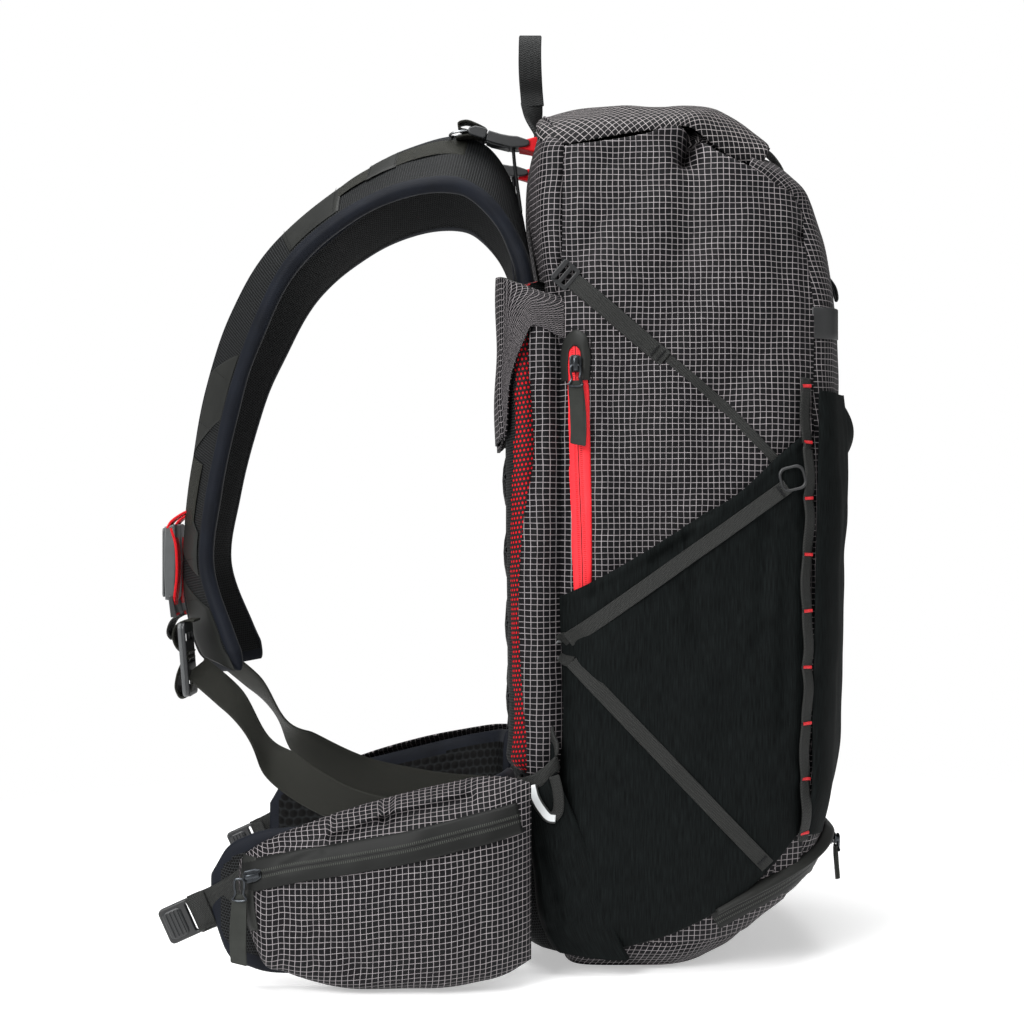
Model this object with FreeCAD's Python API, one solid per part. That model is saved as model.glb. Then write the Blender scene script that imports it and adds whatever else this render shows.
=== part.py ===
"""Roll-top touring backpack with a joined chest harness and a winged hip belt.

The frame is +Z up and -Y away from the wearer. +X is the wearer's right. The origin is on the ground,
under the middle of the flat base. Outlines are drawn for the nominal sack, and wide(), deep() and high()
stretch them with the sack's width, depth and height. Thicknesses never stretch.
"""

import FreeCAD, Part
import math
import os

V = FreeCAD.Vector
os.makedirs("parts", exist_ok=True)

# ---------------------------------------------------------------- driving sizes, in millimetres
NOMINAL_WIDTH, NOMINAL_DEPTH, NOMINAL_HEIGHT = 280.0, 245.0, 674.0
sack_width = 280.0
sack_depth = 245.0
sack_height = 674.0
cloth = 3.0                # a sewn panel with its lining and seams
collar_cloth = 8.0         # the collar, gathered and rolled
gap = 0.3                  # between pieces that move past each other
play = 1.0                 # between soft pieces that move past each other

roll_radius = 17.0
pocket_skin = 2.0          # stretch-woven pockets
side_pocket_room = 12.0
front_pocket_room = 13.0
wand_pocket_size = (38.0, 27.0)

back_pad_thick = 22.0
back_mesh_thick = 4.0
sleeve_thick = 30.0
lumbar_thick = 30.0
frame_sheet_thick = 2.0
stay_width, stay_thick = 15.0, 3.0

strap_thick = 14.0
webbing_thick = 1.6
narrow_webbing = 12.0
top_webbing = 20.0
wide_webbing = 30.0

wing_thick = 12.0
hip_pocket_wall = 3.0
zip_slot = 8.0
tape_width, tape_thick = 17.0, 1.2
slider_long, slider_wide, slider_high = 12.0, 9.0, 4.5
pull_wide, pull_thick = 12.0, 2.4
side_pull_long, base_pull_long, hip_pull_long = 58.0, 34.0, 60.0

cord_radius = 1.3
loop_tape, loop_thick = 18.0, 1.8

# Hardware: length along the webbing, width across it, and height.
side_adjuster_size = (22.0, 18.0, 4.0)
side_ring_size, side_ring_hole = (24.0, 20.0, 3.6), (15.0, 12.0, 8.0)
receiver_size = (34.0, 22.0, 9.0)
ladder_lock_size, ladder_lock_slot = (14.0, 26.0, 7.0), (4.0, 20.0, 12.0)
strap_lock_size, strap_lock_slot = (58.0, 38.0, 7.0), (6.0, 32.0, 12.0)
strap_lock_pitch = 17.0
chain_wide, chain_tunnel = 10.0, 20.0
bartack = 2.0
lifter_cord_spread = 8.0


# ---------------------------------------------------------------- how a size stretches an outline
def wide(x):
    return x * sack_width / NOMINAL_WIDTH


def deep(y):
    return y * sack_depth / NOMINAL_DEPTH


def high(z):
    return z * sack_height / NOMINAL_HEIGHT


def side_points(points):
    """(y, z) points drawn for the nominal sack, stretched."""
    return [(deep(y), high(z)) for y, z in points]


half_width = sack_width / 2


# ---------------------------------------------------------------- how shapes are made
def in_side(y, z):
    return V(0, y, z)


def in_front(x, z):
    return V(x, 0, z)


def face_of(points, place):
    vectors = [place(a, b) for a, b in points]
    return Part.Face(Part.makePolygon(vectors + vectors[:1]))


def inset(face, amount):
    """The face with its edge moved inwards, or outwards where the amount is negative."""
    return face.makeOffset2D(-amount, 2) if amount else face


def slab(face, axis, low, high_end):
    """A face pushed along an axis (0, 1 or 2), between two places on it."""
    start = [0, 0, 0]
    push = [0, 0, 0]
    start[axis] = low
    push[axis] = high_end - low
    moved = face.copy()
    moved.translate(V(*start))
    return moved.extrude(V(*push))


def box(x0, x1, y0, y1, z0, z1):
    return Part.makeBox(x1 - x0, y1 - y0, z1 - z0, V(x0, y0, z0))


def both_sides(shape):
    """The left piece and its mirror image on the right, as separate solids."""
    return Part.makeCompound([shape, mirrored(shape)])


def mirrored(shape):
    return shape.mirror(V(0, 0, 0), V(1, 0, 0))


def shifted(shape, y):
    moved = shape.copy()
    moved.translate(V(0, y, 0))
    return moved


def block(origin, along, outward, size, rounding=0.0):
    """A box centred on origin: size is its length along, its width across and its height outward."""
    u = V(*along).normalize()
    n = V(*outward)
    n = (n - u * n.dot(u)).normalize()
    v = n.cross(u)
    length, width, height = size
    shape = box(-length / 2, length / 2, -width / 2, width / 2, -height / 2, height / 2)
    if rounding:
        shape = shape.makeFillet(rounding, shape.Edges)
    rows = [(u[i], v[i], n[i], origin[i]) for i in range(3)]
    turn = FreeCAD.Matrix(*rows[0], *rows[1], *rows[2], 0, 0, 0, 1)
    return shape.transformGeometry(turn)


def loft(sections):
    solid = Part.makeLoft([Part.makePolygon(s + s[:1]) for s in sections], True, True)
    if solid.Volume < 0:
        solid.reverse()
    return solid


def band(edges, low, high_end, side=1.0):
    """A band between two edge lines, from low to high_end above the face that the lines bound.

    edges holds (one edge's point, the other edge's point) pairs. side turns the face over.
    """
    sections = []
    for i, (a, b) in enumerate(edges):
        before = edges[max(i - 1, 0)]
        after = edges[min(i + 1, len(edges) - 1)]
        forward = (after[0] + after[1]) - (before[0] + before[1])
        up = (b - a).cross(forward).normalize() * side
        sections.append([a + up * low, b + up * low, b + up * high_end, a + up * high_end])
    return loft(sections)


def ribbon(line, width, thick):
    """Webbing along (centre point, across direction) pairs."""
    edges = [(p - a.normalize() * width / 2, p + a.normalize() * width / 2) for p, a in line]
    return band(edges, -thick / 2, thick / 2)


def tube(points, radius):
    """A round cord along straight runs joined by tangent arcs as large as the runs allow."""
    edges = []
    last = points[0]
    for before, corner, after in zip(points, points[1:], points[2:]):
        back = (before - corner)
        on = (after - corner)
        reach = 0.45 * min(back.Length, on.Length)
        turn = math.pi - back.getAngle(on)
        bend = reach / math.tan(turn / 2)
        start = corner + back.normalize() * reach
        end = corner + on.normalize() * reach
        inward = (back + on).normalize()
        middle = corner + inward * (math.hypot(reach, bend) - bend)
        edges.append(Part.LineSegment(last, start).toShape())
        edges.append(Part.Arc(start, middle, end).toShape())
        print("cord bend radius", round(bend, 1))
        last = end
    edges.append(Part.LineSegment(last, points[-1]).toShape())
    path = Part.Wire(edges)
    ring = Part.Wire(Part.makeCircle(radius, points[0], points[1] - points[0]))
    return path.makePipeShell([ring], True, True)


nodes = {}


def keep(name, shape):
    nodes[name] = shape


# ---------------------------------------------------------------- the sack
back_line = side_points([(62, 12), (64, 206), (66, 288), (73, 513), (84, 584), (79, 622), (76, 657)])
top_line = side_points([(51, 666), (-6, 674), (-62, 669), (-104, 645)])
front_line = side_points([(-130, 600), (-150, 548), (-161, 453), (-161, 300), (-150, 111), (-150, 74)])
base_line = side_points([(-142, 64), (-95, 34), (-20, 0), (50, 0)])
sack_side_face = face_of(back_line + top_line + front_line + base_line, in_side)

front_y = deep(-161)
front_bulge = deep(36)
corner_y = front_y + front_bulge
back_corner = 22.0
front_plan_y = deep(84) + 20


def sack_plan_face(reach):
    """The plan of the sack, with its bulging front pushed out by reach."""
    x = half_width
    back = [V(-x, corner_y, 0), V(-x, deep(45), 0), V(-x + back_corner, front_plan_y, 0)]
    back += [V(x - back_corner, front_plan_y, 0), V(x, deep(45), 0), V(x, corner_y, 0)]
    edges = [Part.LineSegment(a, b).toShape() for a, b in zip(back, back[1:])]
    edges.append(Part.Arc(back[-1], V(0, front_y - reach, 0), back[0]).toShape())
    return Part.Face(Part.Wire(edges))


front_face_points = [(-118, 0), (-140, 62), (-140, 560), (-130, 640), (-112, 680)]
front_face_half = [(wide(x), high(z)) for x, z in front_face_points]
sack_front_face = face_of(front_face_half + [(-x, z) for x, z in reversed(front_face_half)], in_front)


def sack_solid(amount):
    """The sack's outer shape, or its inner shape where amount is the thickness of the cloth."""
    side = slab(inset(sack_side_face, amount), 0, -sack_width, sack_width)
    plan = slab(inset(sack_plan_face(0), amount), 2, -10, sack_height + 20)
    front = slab(inset(sack_front_face, amount), 1, -2 * sack_depth, 2 * sack_depth)
    return side.common(plan).common(front)


sack_outside = sack_solid(0)
sack_inside = sack_solid(cloth)

# The collar sits in front of the back panel's top edge, and its seam drops towards the front.
collar_back_y = deep(76) - cloth - play
collar_seam = side_points([(-58, 624), (-112, 590), (-230, 590), (-230, 760)])
collar_zone_points = [(collar_back_y, high(760)), (collar_back_y, high(624))] + collar_seam
collar_zone = slab(face_of(collar_zone_points, in_side), 0, -sack_width, sack_width)
roll_centre = (deep(-90), high(640))

bag = sack_outside.cut(sack_inside).cut(collar_zone)
base_seam = side_points([(120, -20), (120, 24), (-20, 24), (-128, 80), (-230, 80), (-230, -20)])
base_zone = slab(face_of(base_seam, in_side), 0, -sack_width, sack_width)
back_seam_y = deep(52)
back_zone = box(-sack_width, sack_width, back_seam_y, deep(200), -10, high(760))
front_seam_y = corner_y + 4
front_zone = box(-sack_width, sack_width, deep(-260), front_seam_y, -10, high(760))
bag_upper = bag.cut(base_zone)
bag_sides = bag_upper.cut(back_zone).cut(front_zone)

keep("sack_base", bag.common(base_zone))
keep("sack_back_panel", bag_upper.common(back_zone))
keep("sack_front_panel", bag_upper.cut(back_zone).common(front_zone))
keep("sack_side_left", bag_sides.common(box(-sack_width, 0, deep(-260), deep(200), -10, high(760))))
keep("sack_side_right", bag_sides.common(box(0, sack_width, deep(-260), deep(200), -10, high(760))))

# The rolled collar lifts off the mouth, so its seam stands a little above the bag's edge.
collar_outer = sack_outside.common(collar_zone)
collar_room = sack_solid(collar_cloth).common(
    box(-sack_width, sack_width, deep(-260), collar_back_y - collar_cloth, -10, high(760))
)
roll_long = sack_width - wide(56)
roll = Part.makeCylinder(roll_radius, roll_long, V(-roll_long / 2, *roll_centre), V(1, 0, 0))
collar = collar_outer.fuse(roll.common(collar_zone)).cut(collar_room).removeSplitter()
collar.translate(V(0, 0, gap))
keep("roll_top", collar)

# ---------------------------------------------------------------- the strap that holds the roll down
strap_foot_z = high(601)
collar_whole = sack_outside.fuse(roll)
strap_zone = box(-top_webbing / 2, top_webbing / 2, deep(-260), deep(-96), strap_foot_z, high(642))
top_strap = shifted(collar_whole, -webbing_thick).common(strap_zone).cut(collar_whole)
top_strap.translate(V(0, 0, gap))
keep("top_strap", max(top_strap.Solids, key=lambda s: s.Volume))

hook_drop = 12.0
hook_centre = V(0, deep(-132) - 2, strap_foot_z - hook_drop / 2 + 2)
hook_slope = V(0, deep(-20), high(-52)).normalize()
hook_out = V(0, -1, 0.4)
hook_size = (hook_drop, top_webbing + 4, 5.0)
hook_solid = block(hook_centre, hook_slope, hook_out, hook_size, 1.0).cut(shifted(sack_outside, -gap))
keep("top_hook", hook_solid.cut(nodes["top_strap"]))
catch_centre = hook_centre + hook_slope * (hook_drop + 2 * play) + V(0, -1, 0)
catch_solid = block(catch_centre, hook_slope, hook_out, (hook_drop, top_webbing + 4, 7.0), 1.0)
keep("top_catch", catch_solid.cut(sack_outside))

# ---------------------------------------------------------------- the frame inside the back
sheet_zone = box(wide(-98), wide(98), 0, deep(200), high(60), high(560))
keep(
    "frame_sheet",
    sack_inside.cut(shifted(sack_inside, -frame_sheet_thick)).common(sheet_zone),
)
stay_x = wide(55)
stay_zone = box(-stay_x - stay_width / 2, -stay_x + stay_width / 2, 0, deep(200), high(80), high(540))
stay_layer = shifted(sack_inside, -frame_sheet_thick).cut(
    shifted(sack_inside, -frame_sheet_thick - stay_thick)
)
keep("frame_stays", both_sides(stay_layer.common(stay_zone)))


# ---------------------------------------------------------------- padding and harness sleeve on the back
def back_layer(low, top, x0, x1, z0, z1):
    """Padding on the outside of the back panel, between two heights above it."""
    layer = shifted(sack_outside, top).cut(shifted(sack_outside, low) if low else sack_outside)
    return layer.common(box(x0, x1, 0, deep(300), z0, z1))


pad_half = wide(46)
sleeve_inner_x = wide(106)
sleeve_outer_x = wide(128)
lumbar_half = wide(112)
lumbar_top = high(150)
sleeve_top = high(519)
harness_root_z = high(440)

keep("lumbar_pad", back_layer(0, lumbar_thick, -lumbar_half, lumbar_half, high(16), lumbar_top))
pad_low = back_layer(0, back_pad_thick, -sleeve_inner_x, sleeve_inner_x, lumbar_top, harness_root_z)
pad_high = back_layer(0, back_pad_thick, -pad_half, pad_half, harness_root_z, sleeve_top)
keep("back_pad", pad_low.fuse(pad_high).removeSplitter())
mesh_top = back_pad_thick + back_mesh_thick
keep(
    "back_mesh",
    back_layer(back_pad_thick, mesh_top, -sleeve_inner_x, sleeve_inner_x, lumbar_top, harness_root_z),
)
sleeve = back_layer(0, sleeve_thick, -sleeve_outer_x, -sleeve_inner_x, high(176), sleeve_top)


# ---------------------------------------------------------------- stretch pockets
pocket_side_points = side_points(
    [(63, 278), (-109, 365), (-109, 94), (-94, 80), (-75, 62), (-42, 41), (-5, 24), (32, 17), (63, 20)]
)
hem_height = high(90)
pocket_room_points = [(y, z + hem_height) if i < 2 else (y, z) for i, (y, z) in enumerate(pocket_side_points)]
pocket_deep = side_pocket_room + pocket_skin
pocket_outer = slab(face_of(pocket_side_points, in_side), 0, -half_width - pocket_deep, -half_width)
pocket_room = slab(
    inset(face_of(pocket_room_points, in_side), pocket_skin), 0, -half_width - side_pocket_room, 0
)
side_pocket = pocket_outer.cut(pocket_room).cut(sack_outside)
keep("side_pocket_left", side_pocket)
keep("side_pocket_right", mirrored(side_pocket))

front_pocket_deep = front_pocket_room + pocket_skin
front_pocket_half = wide(128)
front_pocket_low, front_pocket_hem = high(101), high(440)


def front_layer(reach, side_inset, z0, z1):
    """Everything in front of the sack, out to reach from its bulging front."""
    plan = slab(sack_plan_face(reach), 2, z0, z1)
    outline = slab(sack_side_face, 0, -front_pocket_half + side_inset, front_pocket_half - side_inset)
    swept = outline.fuse(shifted(outline, -reach))
    return plan.common(swept).common(box(-sack_width, sack_width, deep(-300), front_seam_y, z0, z1))


pocket_front_room = front_layer(
    front_pocket_room, pocket_skin, front_pocket_low + pocket_skin, front_pocket_hem + 20
)
front_pocket = front_layer(front_pocket_deep, 0, front_pocket_low, front_pocket_hem)
front_pocket = front_pocket.cut(pocket_front_room).cut(sack_outside)
keep("front_pocket", max(front_pocket.Solids, key=lambda s: s.Volume))

wand_wide, wand_deep = wand_pocket_size
wand_inner_x = -lumbar_half - play
wand_y = deep(64.5)
wand_low, wand_hem = high(20), high(165)
wand_outer = box(wand_inner_x - wand_wide, wand_inner_x, wand_y, wand_y + wand_deep, wand_low, wand_hem)
wand_room = box(
    wand_inner_x - wand_wide + pocket_skin,
    wand_inner_x - pocket_skin,
    wand_y + pocket_skin,
    wand_y + wand_deep - pocket_skin,
    wand_low + pocket_skin,
    wand_hem + 10,
)
keep("wand_pockets", both_sides(wand_outer.cut(wand_room)))
tab_x = wand_inner_x - wand_wide
tab_y = wand_y + wand_deep / 2
tab = box(tab_x - 2.5, tab_x, tab_y - 6, tab_y + 6, wand_hem - 42, wand_hem - 2)


# ---------------------------------------------------------------- webbing on the sides
side_x = -half_width
pocket_x = -half_width - pocket_deep


def flat_run(a, b, x, width=narrow_webbing, thick=webbing_thick):
    """A straight run of webbing that lies on a vertical side face at x, between two (y, z) places."""
    start, end = V(x - thick / 2, *a), V(x - thick / 2, *b)
    middle = (start + end) * 0.5
    return block(middle, end - start, V(-1, 0, 0), ((end - start).Length, width, thick))


slider_spot, high_turn, low_turn, foot_spot = side_points([(50, 520), (-106, 386), (56, 238), (-92, 88)])
hem_turn = (deep(-104), high(352))
runs = [
    flat_run(slider_spot, high_turn, side_x),
    flat_run(hem_turn, low_turn, pocket_x),
    flat_run(low_turn, foot_spot, pocket_x),
]
corner_cap = flat_run((low_turn[0] + 7, low_turn[1]), (low_turn[0] - 7, low_turn[1]), pocket_x, 14.0)
runs_joined = runs[1].fuse(runs[2]).fuse(corner_cap).removeSplitter()
keep("compression_straps", Part.makeCompound([both_sides(runs[0]), both_sides(runs_joined)]))

ring_middle = V(pocket_x - 2, high_turn[0] - 4, (high_turn[1] + hem_turn[1]) / 2)
ring = block(ring_middle, V(0, 0.2, 1), V(-1, 0, 0), side_ring_size, 0.8)
ring_hole = block(ring_middle, V(0, 0.2, 1), V(-1, 0, 0), side_ring_hole)
adjuster_middle = V(side_x - webbing_thick - side_adjuster_size[2] / 2, *slider_spot)
adjuster = block(adjuster_middle, V(0, -1, -0.86), V(-1, 0, 0), side_adjuster_size, 0.8)
ring = ring.cut(ring_hole).cut(runs_joined).cut(pocket_outer)
keep("compression_hardware", Part.makeCompound([both_sides(adjuster), both_sides(ring)]))

chain_low, chain_high = high(106), high(441)
chain_y = front_seam_y + 1
chain_front = chain_y + chain_wide
bartacks = 9
pitch = (chain_high - chain_low) / (bartacks - 1)
chain = box(side_x - webbing_thick, side_x, chain_y, chain_front, chain_low - 6, chain_high + 6)
tunnel_x = side_x - webbing_thick - play
for i in range(bartacks - 1):
    middle_z = chain_low + (i + 0.5) * pitch
    low, high_end = middle_z - chain_tunnel / 2, middle_z + chain_tunnel / 2
    raised = box(tunnel_x - webbing_thick, side_x, chain_y, chain_front, low - bartack, high_end + bartack)
    tunnel = box(tunnel_x, side_x - webbing_thick, chain_y, chain_front, low, high_end)
    chain = chain.fuse(raised).cut(tunnel)
keep("daisy_chains", both_sides(chain.cut(pocket_outer)))

label = flat_run((deep(-122), high(497)), (deep(-122), high(480)), side_x, 12.0, 0.8)
keep("blank_label", label.cut(sack_outside))


# ---------------------------------------------------------------- zips
def slider_on(spot, along, outward):
    """A slider that rides just above its tape."""
    out = V(*outward).normalize()
    middle = spot + out * (gap + slider_high / 2)
    return block(middle, along, outward, (slider_long, slider_wide, slider_high), 1.0)


def pull_on(spot, down, outward, length):
    """A pull that hangs from the slider's bail, above its face."""
    out, fall = V(*outward).normalize(), V(*down).normalize()
    middle = spot + out * (2 * gap + slider_high + pull_thick / 2) + fall * (length / 2)
    return block(middle, down, outward, (length, pull_wide, pull_thick), 0.8)


zip_y = deep(49)
zip_low, zip_join, zip_high = high(288), high(445), high(482)
tape_half = tape_width / 2
side_tape = box(side_x - tape_thick, side_x, zip_y - tape_half, zip_y + tape_half, zip_low, zip_join)
keep("side_zip_tape", side_tape)
garage_wide, garage_thick = 26.0, 2.0
garage_half = garage_wide / 2
garage = box(side_x - garage_thick, side_x, zip_y - garage_half, zip_y + garage_half, zip_join, zip_high)
keep("side_zip_garage", garage)
side_slider_spot = V(side_x - garage_thick, zip_y, high(455))
keep("side_zip_slider", slider_on(side_slider_spot, V(0, 0, 1), V(-1, 0, 0)))
keep("side_zip_pull", pull_on(side_slider_spot, V(0, 0, -1), V(-1, 0, 0), side_pull_long))

base_zip_low, base_zip_top = high(83), high(99)
base_tape = shifted(sack_outside, -tape_thick).cut(sack_outside)
front_tape = base_tape.common(
    box(-front_pocket_half, front_pocket_half, deep(-300), front_seam_y, base_zip_low, base_zip_top)
)
seam_tape_start, seam_tape_end = side_points([(-116, 86), (-66, 52)])
side_seam_tape = flat_run(seam_tape_start, seam_tape_end, side_x, 10.0, tape_thick)
keep("base_zip_tape", Part.makeCompound([front_tape, both_sides(side_seam_tape.cut(pocket_outer))]))
base_slider_spot = V(wide(-62), deep(-150) - tape_thick, (base_zip_low + base_zip_top) / 2)
keep("base_zip_slider", slider_on(base_slider_spot, V(1, 0, 0), V(0, -1, 0)))
keep("base_zip_pull", pull_on(base_slider_spot, V(0, 0, -1), V(0, -1, 0), base_pull_long))

# ---------------------------------------------------------------- grab loop, turned edge-on above its foot
loop_y = deep(82)
foot_low, foot_top, neck_z, crown_z = high(630), high(657), high(685), high(739)
loop_half, crown_half = loop_tape / 2, 12.0
foot = shifted(sack_outside, loop_thick).cut(sack_outside)
foot = foot.common(box(-loop_half, loop_half, deep(70), deep(110), foot_low, foot_top))
foot_y = deep(76)
flat_section = [(-loop_half, 0), (loop_half, 0), (loop_half, loop_thick), (-loop_half, loop_thick)]
upright_section = [
    (-loop_thick, -loop_half), (loop_thick, -loop_half), (loop_thick, loop_half), (-loop_thick, loop_half)
]
neck = loft(
    [
        [V(x, foot_y + gap + y, foot_top + gap) for x, y in flat_section],
        [V(x, loop_y + y, neck_z) for x, y in upright_section],
    ]
)
loop_path = [(-loop_thick / 2, neck_z), (-crown_half + 3, neck_z + 16), (-crown_half, crown_z - 16)]
loop_path += [(-crown_half + 5, crown_z - 4), (0, crown_z - loop_thick / 2)]
loop_path += [(-x, z) for x, z in reversed(loop_path[:-1])]
loop_band = ribbon([(V(x, loop_y, z), V(0, 1, 0)) for x, z in loop_path], loop_tape, loop_thick)
grab_loop = neck.fuse(loop_band).removeSplitter()
keep("grab_loop", grab_loop)
keep("grab_loop_foot", foot)

# ---------------------------------------------------------------- cord loop for a pole or an axe shaft
keeper_y, keeper_z = deep(-153), high(548)
keeper_tab = box(-8, 8, keeper_y - 5, keeper_y + 20, keeper_z, keeper_z + 9).cut(sack_outside)
keep("webbing_tabs", Part.makeCompound([keeper_tab, both_sides(tab)]))
keeper_half = 5.0
keeper_end_z = keeper_z - cord_radius - gap
keeper_points = [
    V(-keeper_half, keeper_y - 3, keeper_end_z),
    V(-keeper_half, keeper_y - 8, keeper_z - 9),
    V(-keeper_half - 1, keeper_y - 14, keeper_z - 17),
    V(-keeper_half + 1, keeper_y - 13, keeper_z - 26),
    V(keeper_half - 1, keeper_y - 13, keeper_z - 26),
    V(keeper_half + 1, keeper_y - 14, keeper_z - 17),
    V(keeper_half, keeper_y - 8, keeper_z - 9),
    V(keeper_half, keeper_y - 3, keeper_end_z),
]
keep("keeper_cord", tube(keeper_points, cord_radius))

# ---------------------------------------------------------------- shoulder straps
# Each pair is a point on the edge by the neck and a point on the edge by the arm, on the outer face.
strap_edges = [
    ((-50, 78, 452), (-104, 78, 452)),
    ((-50, 81, 520), (-104, 80, 520)),
    ((-50, 90, 592), (-104, 92, 556)),
    ((-50, 110, 634), (-104, 118, 588)),
    ((-50, 140, 648), (-104, 148, 600)),
    ((-50, 185, 637), (-103, 190, 594)),
    ((-48, 232, 610), (-101, 232, 574)),
    ((-44, 290, 562), (-95, 273, 538)),
    ((-38, 325, 508), (-84, 302, 482)),
    ((-28, 347, 448), (-70, 321, 430)),
    ((-16, 362, 375), (-60, 338, 362)),
    ((-10, 369, 300), (-54, 345, 305)),
    ((-22, 360, 248), (-62, 326, 252)),
    ((-38, 342, 218), (-68, 312, 222)),
]


def spot(x, y, z):
    return V(wide(x), deep(y), high(z))


strap_edges = [(spot(*a), spot(*b)) for a, b in strap_edges]
strap = band(strap_edges, -strap_thick, 0, -1.0)
keep("shoulder_strap_left", strap)
keep("shoulder_strap_right", mirrored(strap))
anchor_layer = back_layer(0, strap_thick, wide(-98), wide(-56), high(452), high(500))
keep("harness_sleeves", Part.makeCompound([both_sides(sleeve), both_sides(anchor_layer.cut(strap))]))


def along_strap(first, last, share_a, share_b, thick):
    """Webbing or a panel on the strap's outer face, between two shares of its width."""
    edges = [(a + (b - a) * share_a, a + (b - a) * share_b) for a, b in strap_edges[first : last + 1]]
    return band(edges, 0, thick, -1.0)


ladder_low = along_strap(4, 6, 0.08, 0.38, webbing_thick)
ladder_wide = along_strap(6, 7, 0.04, 0.62, 2.0)
ladder_high = along_strap(8, 9, 0.1, 0.75, 2.0)
ladder_chest = along_strap(10, 10 + 1, 0.35, 0.9, 2.0)
keep("strap_ladders", both_sides(Part.makeCompound([ladder_low, ladder_wide, ladder_high, ladder_chest])))

# ---------------------------------------------------------------- load lifters
lifter_x = -62
lifter_slope, lifter_up = V(0, 1, 0.28), V(0, -0.28, 1)


def lifter_block(y, z, size, rounding=0.0):
    return block(spot(lifter_x, y, z), lifter_slope, lifter_up, size, rounding)


receiver = lifter_block(101, 637.5, receiver_size, 1.5)
ladder_lock = lifter_block(124.6, 644, ladder_lock_size, 1.0)
lock_slot = lifter_block(124.6, 644, ladder_lock_slot)
lifter_loop = lifter_block(139, 648, (16, 20, 3))
anchor_web = lifter_block(77, 631, (16, 18, webbing_thick))
anchor_web = anchor_web.cut(receiver).cut(sack_outside)
ladder_lock = ladder_lock.cut(lock_slot).cut(receiver).cut(strap)
lifter_loop = lifter_loop.cut(ladder_lock).cut(strap)
keep("lifter_buckles", Part.makeCompound([both_sides(receiver), both_sides(ladder_lock)]))
keep("lifter_webbing", Part.makeCompound([both_sides(anchor_web), both_sides(lifter_loop)]))


def lifter_cord(side):
    """One of the two elastic cords that run from a receiver down to the outer face of the strap."""
    shift = V(side * lifter_cord_spread / 2, 0, 0)
    cord_top, cord_foot = spot(lifter_x, 97, 640) + shift, spot(lifter_x, 88, 566) + shift
    fall = cord_foot - cord_top
    cord = Part.makeCylinder(cord_radius, fall.Length, cord_top, fall).cut(receiver).cut(strap)
    middle = receiver.BoundBox.Center
    return min(cord.Solids, key=lambda s: (s.BoundBox.Center - middle).Length)


keep("lifter_cords", Part.makeCompound([both_sides(lifter_cord(-1)), both_sides(lifter_cord(1))]))

# ---------------------------------------------------------------- chest clasp: the halves part sideways
clasp_back_y, clasp_deep = deep(371), 9.0
clasp_low, clasp_high = high(275), high(337)
clasp_half = 23.0
prong_long, prong_wide, prong_deep = 13.0, 20.0, 3.6
clasp_mid_z = (clasp_low + clasp_high) / 2
clasp_mid_y = clasp_back_y + clasp_deep / 2


def clasp_box(x0, x1, tall, thick):
    y, z = clasp_mid_y, clasp_mid_z
    return box(x0, x1, y - thick / 2, y + thick / 2, z - tall / 2, z + tall / 2)


clasp_tall = clasp_high - clasp_low
socket_shell = clasp_box(-clasp_half, -gap / 2, clasp_tall, clasp_deep)
socket_slot = clasp_box(-prong_long - gap, 0, prong_wide + 2 * gap, prong_deep + 2 * gap)
tongue = clasp_box(gap / 2, clasp_half, clasp_tall, clasp_deep).fuse(
    clasp_box(-prong_long, gap, prong_wide, prong_deep)
)
keep("chest_clasp_socket", socket_shell.cut(socket_slot))
keep("chest_clasp_tongue", tongue)
chest_webs = []
for low in (clasp_high + gap, clasp_low - gap - 8):
    web = box(-clasp_half, -8, clasp_back_y - deep(16), clasp_back_y + 6, low, low + 8)
    chest_webs.append(max(web.cut(strap).Solids, key=lambda s: s.BoundBox.YMax))
chest_web = Part.makeCompound(chest_webs)
keep("chest_webbing_left", chest_web)
keep("chest_webbing_right", mirrored(chest_web))

# ---------------------------------------------------------------- adjusters and the wide webbing to the hips
lock_middle = spot(-62, 352, 232)
lock_up, lock_out = V(0, 0.08, 1), V(0, 1, -0.08)
lock_plate = block(lock_middle, lock_up, lock_out, strap_lock_size, 1.2)
for slot_z in (-strap_lock_pitch, 0, strap_lock_pitch):
    slot_middle = lock_middle + lock_up * slot_z
    lock_plate = lock_plate.cut(block(slot_middle, lock_up, lock_out, strap_lock_slot))
keep("strap_adjusters", both_sides(lock_plate))

# The webbing starts behind the lock, wherever the lock is, and its other points stretch with the sack.
web_start = lock_middle + V(0, -strap_lock_size[2] + 2, -7)
web_line = [
    ((-66, 318, 200), (0.2, 0.6, 0.75)),
    ((-73, 280, 150), (0.1, 0.72, 0.6)),
    ((-82, 238, 124), (0.05, 0.45, 0.8)),
    ((-92, 180, 108), (0.0, 0.2, 1.0)),
    ((-104, 86, 98), (0.0, 0.08, 1.0)),
]
web_points = [(web_start, V(0.7, 0.1, 0.7))] + [(spot(*p), V(*a)) for p, a in web_line]
wide_web = ribbon(web_points, wide_webbing, webbing_thick)
wide_web = max(wide_web.cut(lock_plate).cut(nodes["lumbar_pad"]).Solids, key=lambda s: s.Volume)
keep("lower_webbings", both_sides(wide_web.cut(strap)))

# ---------------------------------------------------------------- hip belt wings, each on the back's lower corner
wing_line = [V(wide(x), deep(y), 0) for x, y in [(-119, 100), (-138, 106), (-156, 130), (-164, 180)]]
wing_line += [V(wide(-166), deep(250), 0), V(wide(-161), deep(318), 0)]


def plan_band(line, low, high_end):
    """The plan of a band along a line, between two offsets from it (positive is outwards)."""
    left, right = [], []
    for i, p in enumerate(line):
        forward = (line[min(i + 1, len(line) - 1)] - line[max(i - 1, 0)]).normalize()
        outward = V(-forward.y, forward.x, 0)
        left.append(p + outward * high_end)
        right.append(p + outward * low)
    ring_points = left + right[::-1]
    return Part.Face(Part.makePolygon(ring_points + ring_points[:1]))


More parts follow.
